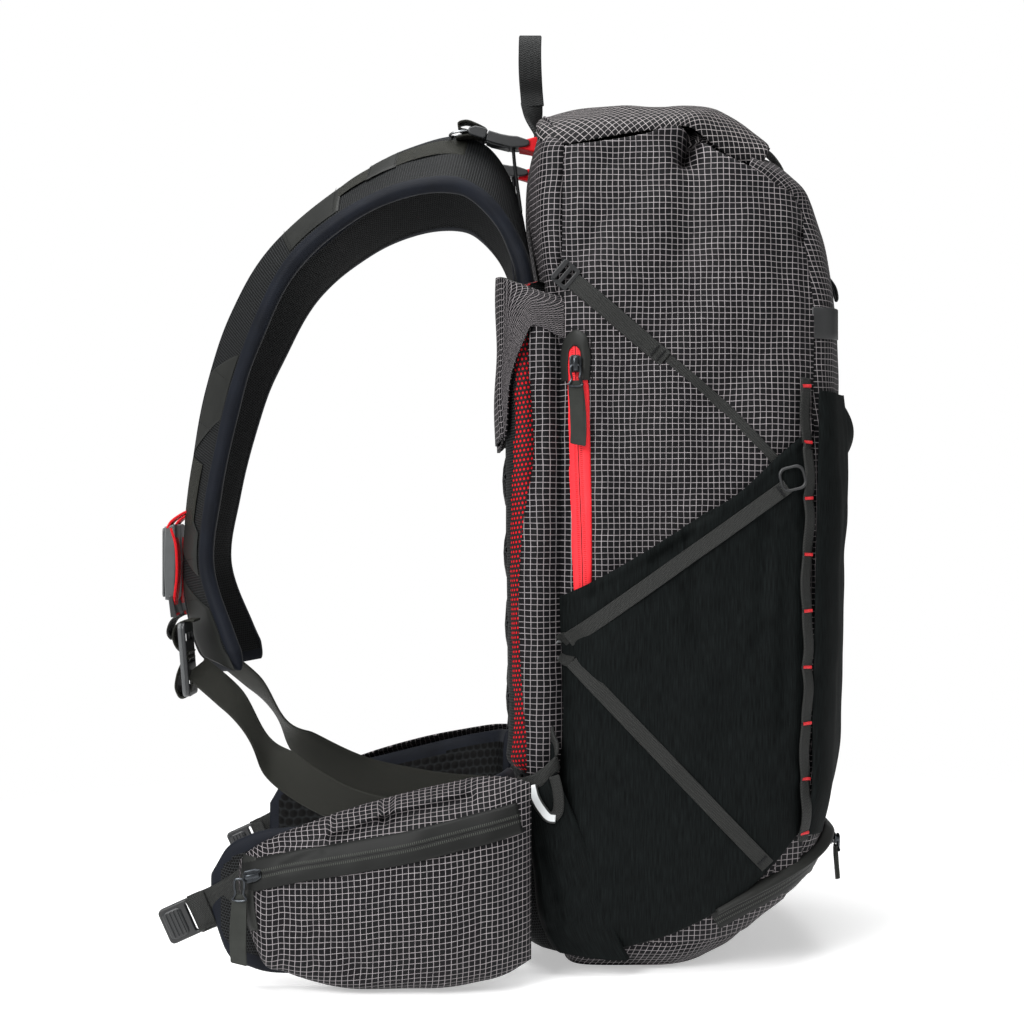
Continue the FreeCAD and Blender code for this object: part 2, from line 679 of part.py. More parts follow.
wing_outline = side_points(
    [(94, 16), (94, 155), (150, 142), (250, 118), (294, 110), (317, 88), (317, 50), (300, 22), (250, 10)]
)
wing_zone = slab(face_of(wing_outline, in_side), 0, -2 * sack_width, 0)
wing_plan = slab(plan_band(wing_line, -wing_thick / 2, wing_thick / 2), 2, -5, sack_height)
wing = wing_plan.common(wing_zone)
keep("hip_wing_left", wing)

belly_out, belly_in = -203, -172
belly = [(-163, 297), (-186, 290), (belly_out, 190), (belly_out, 108), (-194, 84), (belly_in, 84)]
belly += [(-160, 126)]
belly_inner = [wing_line[3], wing_line[4]]
belly_points = [V(wide(x), deep(y), 0) for x, y in belly] + belly_inner
belly_face = Part.Face(Part.makePolygon(belly_points + belly_points[:1]))
pocket_outline = side_points(
    [(291, 100), (250, 119), (193, 137), (150, 147), (107, 153), (84, 150), (80, 90), (82, 26), (128, 11)]
    + [(178, 7), (228, 9), (279, 22), (291, 50)]
)
pocket_face = face_of(pocket_outline, in_side)


def belly_solid(amount):
    plan = slab(inset(belly_face, amount), 2, -5, sack_height)
    outline = slab(inset(pocket_face, max(amount, 0)), 0, -2 * sack_width, 0)
    return plan.common(outline)


hip_pocket_outer = belly_solid(0).cut(wing_plan)
hip_pocket_room = belly_solid(hip_pocket_wall).cut(
    slab(plan_band(wing_line, -wing_thick, wing_thick / 2 + hip_pocket_wall), 2, -5, sack_height)
)
zip_front, zip_back = side_points([(289, 84), (90, 126)])


def zip_zone(height):
    (y0, z0), (y1, z1) = zip_front, zip_back
    half = height / 2
    return slab(
        face_of([(y0, z0 - half), (y0, z0 + half), (y1, z1 + half), (y1, z1 - half)], in_side),
        0,
        -2 * sack_width,
        wide(-176),
    )


slot_zone = zip_zone(zip_slot)
hip_pocket = hip_pocket_outer.cut(hip_pocket_room)
hip_pocket = hip_pocket.cut(slot_zone.common(belly_solid(-tape_thick).cut(belly_solid(hip_pocket_wall))))
keep("hip_pocket_left", max(hip_pocket.Solids, key=lambda s: s.Volume))
hip_tape = belly_solid(-tape_thick).cut(belly_solid(0)).common(zip_zone(tape_width))
keep("hip_zip_left", max(hip_tape.Solids, key=lambda s: s.Volume))

track_front, track_back = V(wide(-186), deep(290), 0), V(wide(belly_out), deep(190), 0)
track = track_back - track_front
zip_rise = (zip_back[1] - zip_front[1]) / (zip_back[0] - zip_front[0])
track_along = V(track.x, track.y, track.y * zip_rise).normalize()
track_out = V(track.y, -track.x, 0).normalize()
slider_y = deep(282)
track_spot = track_front + track * ((slider_y - track_front.y) / track.y)
track_spot.z = zip_front[1] + (slider_y - zip_front[0]) * zip_rise
hip_slider_spot = track_spot + track_out * tape_thick
keep("hip_slider_left", slider_on(hip_slider_spot, track_along, track_out))
keep("hip_pull_left", pull_on(hip_slider_spot, V(0, 0, -1), track_out, hip_pull_long))

# The webbing leaves the wing's tip, and the buckle half hangs from it on an edge-on fold.
tip = spot(-161, 317, 58)
waist_along = V(0, 1, -0.45).normalize()
waist_out = 14.0
waist_in = 4.0
waist_web_middle = tip + waist_along * (waist_out / 2 - waist_in)
waist_web_size = (waist_out + 2 * waist_in, wide_webbing, 2 * webbing_thick)
waist_web = block(waist_web_middle, waist_along, V(-1, 0, 0), waist_web_size, 0.5)
keep("waist_webbing_left", waist_web.cut(wing))
fold_gap = 2.0
buckle_long, buckle_wide, buckle_thick = 30.0, 28.0, 8.0
buckle_middle = tip + waist_along * (waist_out + fold_gap + buckle_long / 2)
buckle = block(buckle_middle, waist_along, V(-1, 0, 0), (buckle_long, buckle_wide, buckle_thick), 1.2)
buckle_slot = block(
    buckle_middle + waist_along * 4, waist_along, V(-1, 0, 0), (12, buckle_wide - 12, 2 * buckle_thick)
)
keep("waist_buckle_left", buckle.cut(buckle_slot))
for name in ("hip_wing", "hip_pocket", "hip_zip", "hip_slider", "hip_pull", "waist_webbing", "waist_buckle"):
    keep(name + "_right", mirrored(nodes[name + "_left"]))

for name, shape in nodes.items():
    shape.exportStep(os.path.join("parts", name + ".step"))
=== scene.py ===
"""The looks of a roll-top touring backpack, built around its fixed frame.

Places and sizes in the sections are in millimetres in the frame's own axes, and the meshes are in metres.
The wearer's left is -X. Pieces that the bag has on both sides are made on the left and mirrored.
"""

import math
import bpy
import numpy as np
from mathutils import Matrix, Vector


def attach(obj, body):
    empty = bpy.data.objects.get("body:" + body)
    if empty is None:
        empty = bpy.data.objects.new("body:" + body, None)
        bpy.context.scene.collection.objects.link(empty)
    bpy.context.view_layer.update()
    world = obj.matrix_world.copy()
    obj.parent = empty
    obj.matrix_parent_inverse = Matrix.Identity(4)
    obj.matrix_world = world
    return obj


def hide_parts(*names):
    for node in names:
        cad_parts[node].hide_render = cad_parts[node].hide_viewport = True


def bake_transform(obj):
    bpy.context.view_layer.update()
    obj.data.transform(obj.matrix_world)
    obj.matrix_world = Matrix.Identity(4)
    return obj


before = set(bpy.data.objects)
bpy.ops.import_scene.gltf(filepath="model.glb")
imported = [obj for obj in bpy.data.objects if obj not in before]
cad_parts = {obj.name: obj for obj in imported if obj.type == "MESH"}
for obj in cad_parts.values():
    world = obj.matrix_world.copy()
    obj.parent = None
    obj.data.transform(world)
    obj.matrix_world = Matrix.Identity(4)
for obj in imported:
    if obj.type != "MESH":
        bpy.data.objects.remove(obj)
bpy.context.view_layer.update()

# ------------------------------------------------------------------ studio
# A white floor that fades into a white surround, a broad soft light from the wearer's side and above, and a
# weaker one from the front of the bag.
scene = bpy.context.scene
scene.view_settings.view_transform = "Standard"


def linear(hexes):
    """An sRGB hex value such as "#2b2c2f" as linear red, green, blue and alpha."""
    parts = [int(hexes[i : i + 2], 16) / 255 for i in (1, 3, 5)]
    return [c / 12.92 if c <= 0.04045 else ((c + 0.055) / 1.055) ** 2.4 for c in parts] + [1.0]


def result(node):
    """The socket that holds a node's result. A mix of colours has it third."""
    return node.outputs[2 if node.bl_idname == "ShaderNodeMix" else 0]


def add(tree, kind, settings=None, links=None, into=None):
    """One shader node with its settings, its socket values, its links from other nodes, and the socket it feeds."""
    node = tree.nodes.new("ShaderNode" + kind)
    for key, value in (settings or {}).items():
        if isinstance(key, str) and hasattr(node, key):
            setattr(node, key, value)
    for key, value in (settings or {}).items():
        if isinstance(key, int) or not hasattr(node, key):
            node.inputs[key].default_value = value
    for key, source in (links or {}).items():
        tree.links.new(source if hasattr(source, "is_output") else result(source), node.inputs[key])
    if into:
        tree.links.new(result(node), into)
    return node


def new_material(name, **surface_values):
    """A material, its node tree and its surface shader with some of its values set."""
    material = bpy.data.materials.new(name)
    material.use_nodes = True
    surface = material.node_tree.nodes["Principled BSDF"]
    for key, value in surface_values.items():
        surface.inputs[key.replace("_", " ")].default_value = value
    return material, material.node_tree, surface


floor_material, tree, surface = new_material("matt_white_studio_floor", Roughness=0.9)
surface.inputs["Base Color"].default_value = linear("#f2f2f2")
surface.inputs["Specular IOR Level"].default_value = 0.1
surface.inputs["Emission Color"].default_value = (1, 1, 1, 1)
surface.inputs["Emission Strength"].default_value = 0.42
place = add(tree, "NewGeometry")
away = add(tree, "VectorMath", {"operation": "LENGTH"}, {0: place.outputs["Position"]})
fade = add(tree, "MapRange", {"From Min": 0.55, "From Max": 1.0}, {"Value": away.outputs["Value"]})
plain = add(tree, "Emission", {"Color": (1, 1, 1, 1), "Strength": 1.0})
blended = add(tree, "MixShader", links={0: fade, 1: surface, 2: plain})
tree.links.new(blended.outputs[0], tree.nodes["Material Output"].inputs["Surface"])
bpy.ops.mesh.primitive_plane_add(size=16, location=(0, 0, -0.0004))
floor = bpy.context.object
floor.name = "studio_floor"
floor.data.materials.append(floor_material)

world = bpy.data.worlds.new("white_surround")
scene.world = world
world.use_nodes = True
tree = world.node_tree
seen = add(tree, "LightPath")
strength = add(tree, "MapRange", {"To Min": 0.22, "To Max": 1.0}, {"Value": seen.outputs["Is Camera Ray"]})
sky = tree.nodes["Background"]
sky.inputs["Color"].default_value = (1, 1, 1, 1)
tree.links.new(strength.outputs[0], sky.inputs["Strength"])


def soft_light(name, place, target, size, watts):
    data = bpy.data.lights.new(name, "AREA")
    data.shape = "RECTANGLE"
    data.size, data.size_y = size
    data.energy = watts
    light = bpy.data.objects.new(name, data)
    light.location = place
    light.rotation_euler = (Vector(target) - Vector(place)).to_track_quat("-Z", "Y").to_euler()
    scene.collection.objects.link(light)


soft_light("side_light", (-1.9, 1.3, 1.5), (0, 0.05, 0.35), (1.2, 1.2), 62)
soft_light("top_light", (-0.3, 0.2, 2.2), (0, 0.05, 0.3), (1.6, 1.6), 54)
soft_light("front_light", (-1.2, -1.9, 1.2), (0, 0, 0.35), (1.0, 1.6), 5)

camera_data = bpy.data.cameras.new("camera")
camera_data.sensor_width = 36.0
camera_data.lens = 64.2
camera = bpy.data.objects.new("camera", camera_data)
camera.location = (-1.5, 0.098, 0.347)
camera.rotation_euler = (math.pi / 2, 0, -math.pi / 2)
scene.collection.objects.link(camera)
scene.camera = camera

# ------------------------------------------------------------------ ripstop cloth
# Charcoal nylon, plain woven, with a pale heavier thread every few millimetres each way. The heavy threads
# stand proud, are worn here and there, and the cloth has a faint dry sheen.
RIPSTOP_CELL = 0.00435
HEAVY_THREAD = 0.00068


def thread_lines(tree, place):
    """1 on each heavy thread along one way of the cloth, and 0 between them."""
    counted = add(tree, "Math", {"operation": "MULTIPLY", 1: 1 / RIPSTOP_CELL}, {0: place})
    away = add(tree, "Math", {"operation": "PINGPONG", 1: 0.5}, {0: counted})
    half = HEAVY_THREAD / 2 / RIPSTOP_CELL
    edge = {"interpolation_type": "SMOOTHSTEP", "From Min": half, "From Max": half * 0.3}
    return add(tree, "MapRange", edge, {"Value": away})


def woven_ripstop(name, base, thread, turn=0.0):
    material, tree, surface = new_material(name, Roughness=0.62, Specular_IOR_Level=0.12)
    uv = add(tree, "UVMap", {"uv_map": "cloth"})
    drift = add(tree, "TexNoise", {"Scale": 38.0, "Detail": 1.0}, {"Vector": uv})
    moved = add(
        tree, "VectorMath", {"operation": "MULTIPLY_ADD", 1: (0.0016, 0.0016, 0)},
        {0: drift.outputs["Color"], 2: uv}
    )
    turned = add(tree, "Mapping", {"Rotation": (0, 0, turn)}, {"Vector": moved})
    split = add(tree, "SeparateXYZ", links={0: turned})
    across = thread_lines(tree, split.outputs[0])
    along = thread_lines(tree, split.outputs[1])
    lines = add(tree, "Math", {"operation": "MAXIMUM"}, {0: across, 1: along})
    patches = add(tree, "TexNoise", {"Scale": 150.0, "Detail": 3.0}, {"Vector": turned})
    wear = add(
        tree, "MapRange", {"From Min": 0.3, "From Max": 0.7, "To Min": 0.62, "To Max": 1.0}, {"Value": patches}
    )
    shown = add(tree, "Math", {"operation": "MULTIPLY", "use_clamp": True}, {0: lines, 1: wear})
    grain = add(
        tree, "TexWave", {"Scale": 260.0, "Distortion": 2.0, "bands_direction": "DIAGONAL"}, {"Vector": turned}
    )
    tone = add(tree, "MapRange", {"To Min": 0.75, "To Max": 1.2}, {"Value": grain})
    ground = add(tree, "Mix", {"data_type": "RGBA", "blend_type": "MULTIPLY", 0: 1.0, 6: linear(base)}, {7: tone})
    add(
        tree, "Mix", {"data_type": "RGBA", 7: linear(thread)}, {0: shown, 6: ground},
        into=surface.inputs["Base Color"]
    )
    relief = add(tree, "Math", {"operation": "MULTIPLY_ADD", 1: 0.15}, {0: grain, 2: lines})
    add(tree, "Bump", {"Strength": 0.45, "Distance": 0.00025}, {"Height": relief}, into=surface.inputs["Normal"])
    return material


ripstop = woven_ripstop("ripstop_nylon_woven", "#0c0c0e", "#989294")
bias_ripstop = woven_ripstop("ripstop_nylon_on_the_bias", "#0c0c0e", "#a6a0a0", turn=math.radians(38))

# ------------------------------------------------------------------ sack
# A soft tube of ripstop, filled out. Every level has its own back, front and half width, and the panels are
# cut from that one shape, with folds where the straps pull and under the rolled top.


def flow(points):
    """A smooth curve through (place, value) points, as a function of place."""
    place, value = np.array(sorted(points), float).T
    slope = np.gradient(value, place) if len(place) > 1 else np.zeros(1)

    def at(x):
        x = np.clip(x, place[0], place[-1])
        i = np.clip(np.searchsorted(place, x) - 1, 0, len(place) - 2)
        span = place[i + 1] - place[i]
        t = (x - place[i]) / span
        rise = (1 + 2 * t) * (1 - t) ** 2 * value[i] + t * (1 - t) ** 2 * span * slope[i]
        return rise + t * t * (3 - 2 * t) * value[i + 1] + t * t * (t - 1) * span * slope[i + 1]

    return at


def run_of(line):
    """How far along a line each of its points is."""
    return np.r_[0, np.cumsum(np.linalg.norm(np.diff(line, axis=0), axis=1))]


def smooth_line(points, step=4.0, count=None):
    """A smooth line through points, with one about every step."""
    points = np.asarray(points, float)
    along = run_of(points)
    stops = np.linspace(0, along[-1], count or max(3, int(along[-1] / step) + 1))
    return np.stack([flow(zip(along, column))(stops) for column in points.T], axis=1)


def unit(vectors):
    vectors = np.asarray(vectors, float)
    return vectors / np.maximum(np.linalg.norm(vectors, axis=-1, keepdims=True), 1e-9)


wave_random = np.random.default_rng(11)
wave_ways = wave_random.normal(size=(8, 3))
wave_starts = wave_random.uniform(0, 6.28, 8)


def ripple(x, y, z, scale, height):
    """Small uneven waves, the same on every run."""
    p = places(x, y, z)
    return height * np.sin(p @ wave_ways.T * (2.2 / scale) + wave_starts).sum(-1) / 3.4


def places(x, y, z):
    """A grid of points from its three coordinates."""
    return np.stack(np.broadcast_arrays(x, y, z), axis=-1)


def piece_from(name, points, faces, materials, uv=None, which=None):
    """A piece from points in millimetres. uv is a metre pair for each point, and which a material for each face."""
    mesh = bpy.data.meshes.new(name)
    mesh.from_pydata((np.asarray(points, float) / 1000).tolist(), [], faces)
    if uv is not None:
        corners = np.zeros(len(mesh.loops), dtype=int)
        mesh.loops.foreach_get("vertex_index", corners)
        mesh.uv_layers.new(name="cloth").data.foreach_set("uv", np.asarray(uv, float)[corners].ravel())
    for material in materials if isinstance(materials, (list, tuple)) else [materials]:
        mesh.materials.append(material)
    if which is not None:
        mesh.polygons.foreach_set("material_index", which)
    mesh.polygons.foreach_set("use_smooth", [True] * len(mesh.polygons))
    mesh.update()
    piece = bpy.data.objects.new(name, mesh)
    scene.collection.objects.link(piece)
    return piece


def grid_faces(rows, columns, closed=False):
    """The faces between rows of points. A closed grid joins its last column to its first."""
    faces = []
    for i in range(rows - 1):
        for j in range(columns if closed else columns - 1):
            k = (j + 1) % columns
            faces.append((i * columns + j, i * columns + k, (i + 1) * columns + k, (i + 1) * columns + j))
    return faces


def laid_out(rows):
    """How far each point of a cloth is across and along it, in metres, as it was cut."""
    across = np.linalg.norm(np.diff(rows, axis=1), axis=2)
    along = np.linalg.norm(np.diff(rows, axis=0), axis=2)
    u = np.concatenate([np.zeros((len(rows), 1)), np.cumsum(across, axis=1)], axis=1)
    v = np.concatenate([np.zeros((1, rows.shape[1])), np.cumsum(along, axis=0)], axis=0)
    middle = rows.shape[1] // 2
    u = u - u[:, middle : middle + 1]
    v = 0.7 * v[:, middle : middle + 1] + 0.3 * v
    return np.stack([u, v], axis=-1) / 1000


def cloth(name, rows, material, uv=None, thick=1.2, turned=False):
    """A sheet of cloth from a grid of points, thickened inwards. turned swaps its outer side."""
    rows = np.asarray(rows, float)
    faces = grid_faces(*rows.shape[:2])
    if turned:
        faces = [face[::-1] for face in faces]
    uv = laid_out(rows) if uv is None else np.asarray(uv, float)
    piece = piece_from(name, rows.reshape(-1, 3), faces, material, uv.reshape(-1, 2))
    if thick:
        layer = piece.modifiers.new("cloth", "SOLIDIFY")
        layer.thickness = thick / 1000
        layer.offset = -1
    return piece


def fit(piece, body, finish, *stands_for):
    """Hangs a piece on its body of the frame, in place of the frame's own solids. The finish argument is not used."""
    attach(piece, body)
    if stands_for:
        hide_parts(*stands_for)
    return piece


def fit_pair(piece, body, finish, *stands_for):
    """Fits the left piece, and its mirror image on the right."""
    other = piece.copy()
    other.data = piece.data.copy()
    other.data.transform(Matrix.Diagonal((-1, 1, 1, 1)))
    if other.type == "MESH":
        other.data.flip_normals()
    other.name = piece.name + "_right"
    piece.name = piece.name + "_left"
    scene.collection.objects.link(other)
    fit(piece, body, finish, *stands_for)
    fit(other, body.replace("_left", "_right"), finish, *[n.replace("_left", "_right") for n in stands_for])
    return piece, other


back_y = flow(
    [(0, 56), (12, 62), (206, 64), (288, 66), (440, 70), (513, 74), (560, 83), (590, 85), (625, 82), (657, 77)]
)
front_y = flow(
    [(0, -62), (6, -74), (16, -88), (32, -106), (48, -124), (64, -138), (80, -147), (111, -150), (200, -156)]
    + [(300, -160), (453, -161), (521, -158), (552, -153), (578, -146), (603, -135), (625, -120), (660, -96)]
)
half_wide = flow(
    [
        (0, 108), (10, 121), (30, 131), (60, 138), (120, 142), (300, 144), (450, 143), (540, 140), (600, 134),
        (640, 126)
    ]
)
side_seam_y = flow([(0, 52), (200, 61), (300, 64), (440, 67), (500, 66), (525, 62), (584, 60), (640, 58)])
corner_y = flow(
    [
        (60, -112), (92, -120), (145, -125), (200, -124), (332, -127), (441, -128), (500, -129), (540, -125),
        (578, -120)
    ]
    + [(588, -113), (640, -100)]
)
# The side panel's top edge: level behind, up to a ridge, then down in front of the fold.
side_top = flow(
    [
        (-113, 588), (-104, 592), (-88, 602), (-70, 611), (-54, 619), (-44, 628), (-34, 634), (4, 630), (34, 625),
        (62, 622)
    ]
)
# How square the plan is at each level in front of its middle. Behind the middle it is squarer.
front_square = flow([(0, 2.1), (30, 2.3), (60, 2.7), (100, 3.2), (140, 3.4), (660, 3.4)])


def plan_square(z, behind):
    return np.where(behind, 7.0, front_square(z))


def middle_and_depth(z):
    """The sack's middle and half depth at a level."""
    return (back_y(z) + front_y(z)) / 2, (back_y(z) - front_y(z)) / 2


def filled_out(y, z):
    """How far out the filled sack stands before its folds."""
    middle, deep = middle_and_depth(z)
    share = np.clip(np.abs(y - middle) / (deep + 0.5), 0, 0.9995)
    square = plan_square(z, y > middle)
    return half_wide(z) * (1 - share**square) ** (1 / square)


# Each fold runs from one (y, z) place to another, and has a width and a depth. A minus depth is a ridge.
SIDE_FOLDS = [
    ((-33, 612), (-44, 646), 7, 26),
    ((-60, 640), (-44, 634), 9, 14),
    ((-30, 634), (-8, 637), 5, -5),
    ((50, 520), (-106, 386), 8, 3),
    ((54, 540), (60, 610), 7, 4),
    ((36, 562), (48, 524), 8, 3),
    ((-126, 592), (-122, 556), 8, 7),
    ((-122, 556), (-130, 420), 7, 6),
    ((-38, 604), (-32, 545), 13, 4.5),
    ((-32, 545), (-18, 470), 22, 2.5),
    ((-64, 604), (-84, 560), 17, -3.5),
    ((-90, 585), (-108, 520), 10, 3.5),
    ((-100, 480), (-66, 440), 16, 2.5),
    ((40, 470), (37, 285), 3, 1.6),
    ((60, 470), (60, 300), 4, 2.0),
    ((20, 440), (8, 350), 14, 2.2),
    ((-20, 400), (-50, 340), 16, -2.2),
    ((22, 610), (-14, 590), 9, 2.2),
]


def folded(y, z, folds):
    """How deep the folds dent the cloth at each place."""
    dent = np.zeros(np.broadcast(y, z).shape)
    for (ya, za), (yb, zb), wide, deep in folds:
        run = np.array([yb - ya, zb - za])
        ry, rz = y - ya, z - za
        t = np.clip((ry * run[0] + rz * run[1]) / (run @ run), 0, 1)
        dent += deep * np.exp(-((np.hypot(ry - t * run[0], rz - t * run[1]) / wide) ** 2))
    return dent


def side_out(y, z):
    """How far out a side panel stands."""
    out = filled_out(y, z) - folded(y, z, SIDE_FOLDS)
    return out + ripple(0, y * 1.5, z, 60, 2.4) + ripple(0, y, z, 19, 0.7) + ripple(0, y, z, 9, 0.25)


def on_side(y, z, lift=0.0):
    """Places on the near side panel, lifted off it."""
    y, z = np.broadcast_arrays(np.asarray(y, float), np.asarray(z, float))
    return np.stack([-(side_out(y, z) + lift), y, z], axis=-1)


def side_facing(y, z):
    """Which way the near side panel faces at each place."""
    dy = on_side(np.asarray(y) + 4.0, z) - on_side(np.asarray(y) - 4.0, z)
    dz = on_side(y, np.asarray(z) + 4.0) - on_side(y, np.asarray(z) - 4.0)
    return unit(np.cross(dz, dy))


u, v = np.meshgrid(np.linspace(0, 1, 110), np.linspace(0, 1, 220))
z = 24 + 600 * v
for _ in range(4):
    y = side_seam_y(z) + (corner_y(z) - side_seam_y(z)) * u
    z = 24 + (side_top(y) - 24) * v
uv = np.stack([-y, z], axis=-1) / 1000
fit_pair(cloth("side_panel", on_side(y, z), ripstop, uv, turned=True), "root", "ripstop", "sack_side_left")


def crowned(
    name, middle, edge, half, material, square=3.4, uneven=1.6, count=90, across=97, turned=False, thick=1.2,
    seed=0
):
    """A cloth crowned across the bag. middle and edge are its (y, z) lines there, and half its half widths."""
    steps = np.linspace(0, 1, count)
    knots = np.linspace(0, 1, len(middle))
    lines = [flow(zip(knots, column))(steps)[:, None] for pair in (middle, edge) for column in np.array(pair).T]
    reach = flow(zip(np.linspace(0, 1, len(half)), half))(steps)[:, None]
    power = square if np.isscalar(square) else flow(zip(np.linspace(0, 1, len(square)), square))(steps)[:, None]
    t = np.sin(np.linspace(-math.pi / 2, math.pi / 2, across))[None, :]
    crown = (1 - np.abs(t) ** power) ** (1 / power)
    y = lines[2] + (lines[0] - lines[2]) * crown
    z = lines[3] + (lines[1] - lines[3]) * crown
    x = reach * t
    swell = (ripple(x + seed, y, z, 42, uneven) + ripple(x + seed, y, z, 17, uneven * 0.3)) * (1 - np.abs(t) ** 8)
    facing = unit(np.stack([x * 0.2, lines[0] + 40 + 0 * t, lines[1] - 330 + 0 * t], axis=-1))
    rows = np.stack([x, y, z], axis=-1) + facing * swell[..., None]
    return cloth(name, rows, material, turned=turned, thick=thick)


levels = [70, 110, 160, 220, 280, 340, 400, 450, 500, 540, 575, 597]
middle = [(float(front_y(z)), z) for z in levels] + [(-124, 611), (-108, 622), (-88, 628)]
edge = [(float(corner_y(z)), z) for z in levels[:-1]] + [(-113, 588), (-104, 592), (-94, 599), (-80, 606)]
half = [float(side_out(y, z)) - 0.4 for y, z in edge]
front_panel = crowned("front_panel", middle, edge, half, ripstop, square=2.2, uneven=1.8, count=150)
fit(front_panel, "root", "ripstop", "sack_front_panel")

levels = [20, 60, 120, 180, 240, 300, 360, 420, 470, 510, 540, 570, 600, 622]
middle = [(float(back_y(z)) + 1, z) for z in levels] + [(79, 640), (76, 655)]
edge = [(float(side_seam_y(z)), z) for z in levels] + [(62, 630), (62, 634)]
half = [float(side_out(y, z)) - 0.4 for y, z in edge[:-2]] + [118, 112]
back_panel = crowned(
    "back_panel", middle, edge, half, ripstop, square=4.0, uneven=1.8, count=150, turned=True, seed=90
)
fit(back_panel, "root", "ripstop", "sack_back_panel")

# The base pan, cut in one with the strip that turns up round its edge.
around = np.linspace(0, 2 * math.pi, 161)[None, :]
levels = [
    (0.0, 0.02), (0.0, 0.4), (0.0, 0.8), (0.6, 0.96), (3, 1), (8, 1), (16, 1), (26, 1), (38, 1), (52, 1), (66, 1),
    (82, 1), (100, 1)
]
z, share = smooth_line(levels, count=70).T[:, :, None]
middle, deep = middle_and_depth(z)
c, s = np.cos(around), np.sin(around)
power = 2 / plan_square(z, s > 0)
x = half_wide(z) * np.sign(c) * np.abs(c) ** power * share
y = middle + deep * np.sign(s) * np.abs(s) ** power * share
swell = (ripple(x, y, z, 34, 1.8) + ripple(x, y, z, 13, 0.7)) * np.clip(z / 14, 0, 1) - 1.0
rows = np.stack([x + swell * c, y + swell * s, z + 0.6 + 0 * x], axis=-1)
fit(cloth("base_pan", rows, ripstop), "root", "ripstop", "sack_base")

# ------------------------------------------------------------------ rolled top
# The collar is cut on the bias, folded in at the sides and rolled forwards, so that its ends show as dark
# folds over the side panels.


def tube_of(name, rings, material, uv=None, which=None, turned=False):
    """A closed skin through rings of points, with a flat cap at each end."""
    rings = np.asarray(rings, float)
    count, around = rings.shape[:2]
    faces = grid_faces(count, around, closed=True)
    last = (count - 1) * around
    faces += [tuple(range(around))[::-1], tuple(range(last, last + around))]
    if turned:
        faces = [face[::-1] for face in faces]
    flat = None if uv is None else np.asarray(uv, float).reshape(-1, 2)
    return piece_from(name, rings.reshape(-1, 3), faces, material, flat, which=which)


middle = [
    (79, 650), (74, 658), (64, 664), (42, 669), (10, 672), (-22, 672), (-52, 668), (-74, 660), (-90, 650),
    (-100, 640)
]
middle += [(-103, 633), (-99, 627), (-88, 624), (-70, 622)]
edge = [
    (80, 633), (76, 628), (62, 624), (36, 628), (8, 633), (-18, 636), (-36, 638), (-54, 626), (-70, 616),
    (-84, 612)
]
edge += [(-92, 612), (-90, 608), (-82, 606), (-66, 606)]
half = [111, 117, 122, 124, 124, 123, 121, 116, 112, 109, 107, 105, 104, 102]
power = [3.2, 2.6, 2.1, 2.0, 2.0, 2.0, 2.1, 2.3, 2.6, 3.0, 3.2, 3.2, 3.2, 3.2]
cap = crowned(
    "rolled_collar", middle, edge, half, bias_ripstop, square=power, uneven=2.4, count=130, across=121, seed=30
)
cap.data.flip_normals()
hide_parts("roll_top")
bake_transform(cap)

# The turns of cloth inside the roll, which close its ends.
turn = np.linspace(0, 2 * math.pi, 48, endpoint=False)[None, :]
x = np.linspace(-106, 106, 60)[:, None]
wide = (1 - np.abs(x / 107) ** 9) ** 0.5
y = -44 + 31 * np.cos(turn) * wide
z = 627 + 17 * np.sin(turn) * wide
rings = places(x, y + ripple(x, y, z, 16, 1.5), z + ripple(x, z, y, 16, 1.5))
fit(tube_of("roll_inside", rings, bias_ripstop, laid_out(rings)), "roll_top", "ripstop")

# ------------------------------------------------------------------ stretch pockets
# Matt black stretch-woven nylon with fine upright slubs. The side pockets are sewn in at the base and both
# edges, and their slanted hems are turned over an elastic.


def stretch_woven(name, base, streak):
    material, tree, surface = new_material(name, Roughness=0.8, Specular_IOR_Level=0.05)
    uv = add(tree, "UVMap", {"uv_map": "cloth"})
    drawn = add(tree, "Mapping", {"Scale": (1500, 70, 1)}, {"Vector": uv})
    slubs = add(tree, "TexNoise", {"Scale": 1.0, "Detail": 2.0}, {"Vector": drawn})
    fine = add(tree, "TexWave", {"Scale": 330.0, "Distortion": 1.0, "bands_direction": "X"}, {"Vector": uv})
    both = add(tree, "Math", {"operation": "MULTIPLY_ADD", 1: 0.3}, {0: fine, 2: slubs})
    shown = add(tree, "MapRange", {"From Min": 0.42, "From Max": 0.95}, {"Value": both})
    add(
        tree, "Mix", {"data_type": "RGBA", 6: linear(base), 7: linear(streak)}, {0: shown},
        into=surface.inputs["Base Color"]
    )
    add(tree, "Bump", {"Strength": 0.35, "Distance": 0.0002}, {"Height": both}, into=surface.inputs["Normal"])
    return material


stretch = stretch_woven("stretch_nylon_woven", "#060707", "#161a1a")
hem_line = flow([(64, 283), (36, 297), (-2, 319), (-40, 343), (-72, 363), (-99, 388), (-112, 399), (-124, 408)])
foot_line = flow([(64, 14), (35, 17), (0, 24), (-42, 41), (-75, 62), (-98, 84), (-116, 104), (-126, 114)])
POCKET_FOLDS = [
    ((-34, 330), (-8, 312), 5, 4.5),
    ((-48, 346), (-30, 336), 4, 3.5),
    ((-30, 318), (-40, 255), 9, 3.5),
    ((-26, 330), (-31, 300), 4, -2.5),
    ((60, 240), (20, 150), 16, 2.5),
    ((40, 250), (-30, 175), 20, -2.5),
    ((-92, 340), (-86, 250), 8, 3.5),
    ((-106, 330), (-104, 190), 7, 4.0),
    ((-70, 300), (-60, 190), 14, 2.0),
    ((62, 200), (57, 70), 7, 3.0),
    ((-60, 90), (-100, 140), 12, 2.0),
    ((10, 60), (30, 120), 14, 1.5),
]


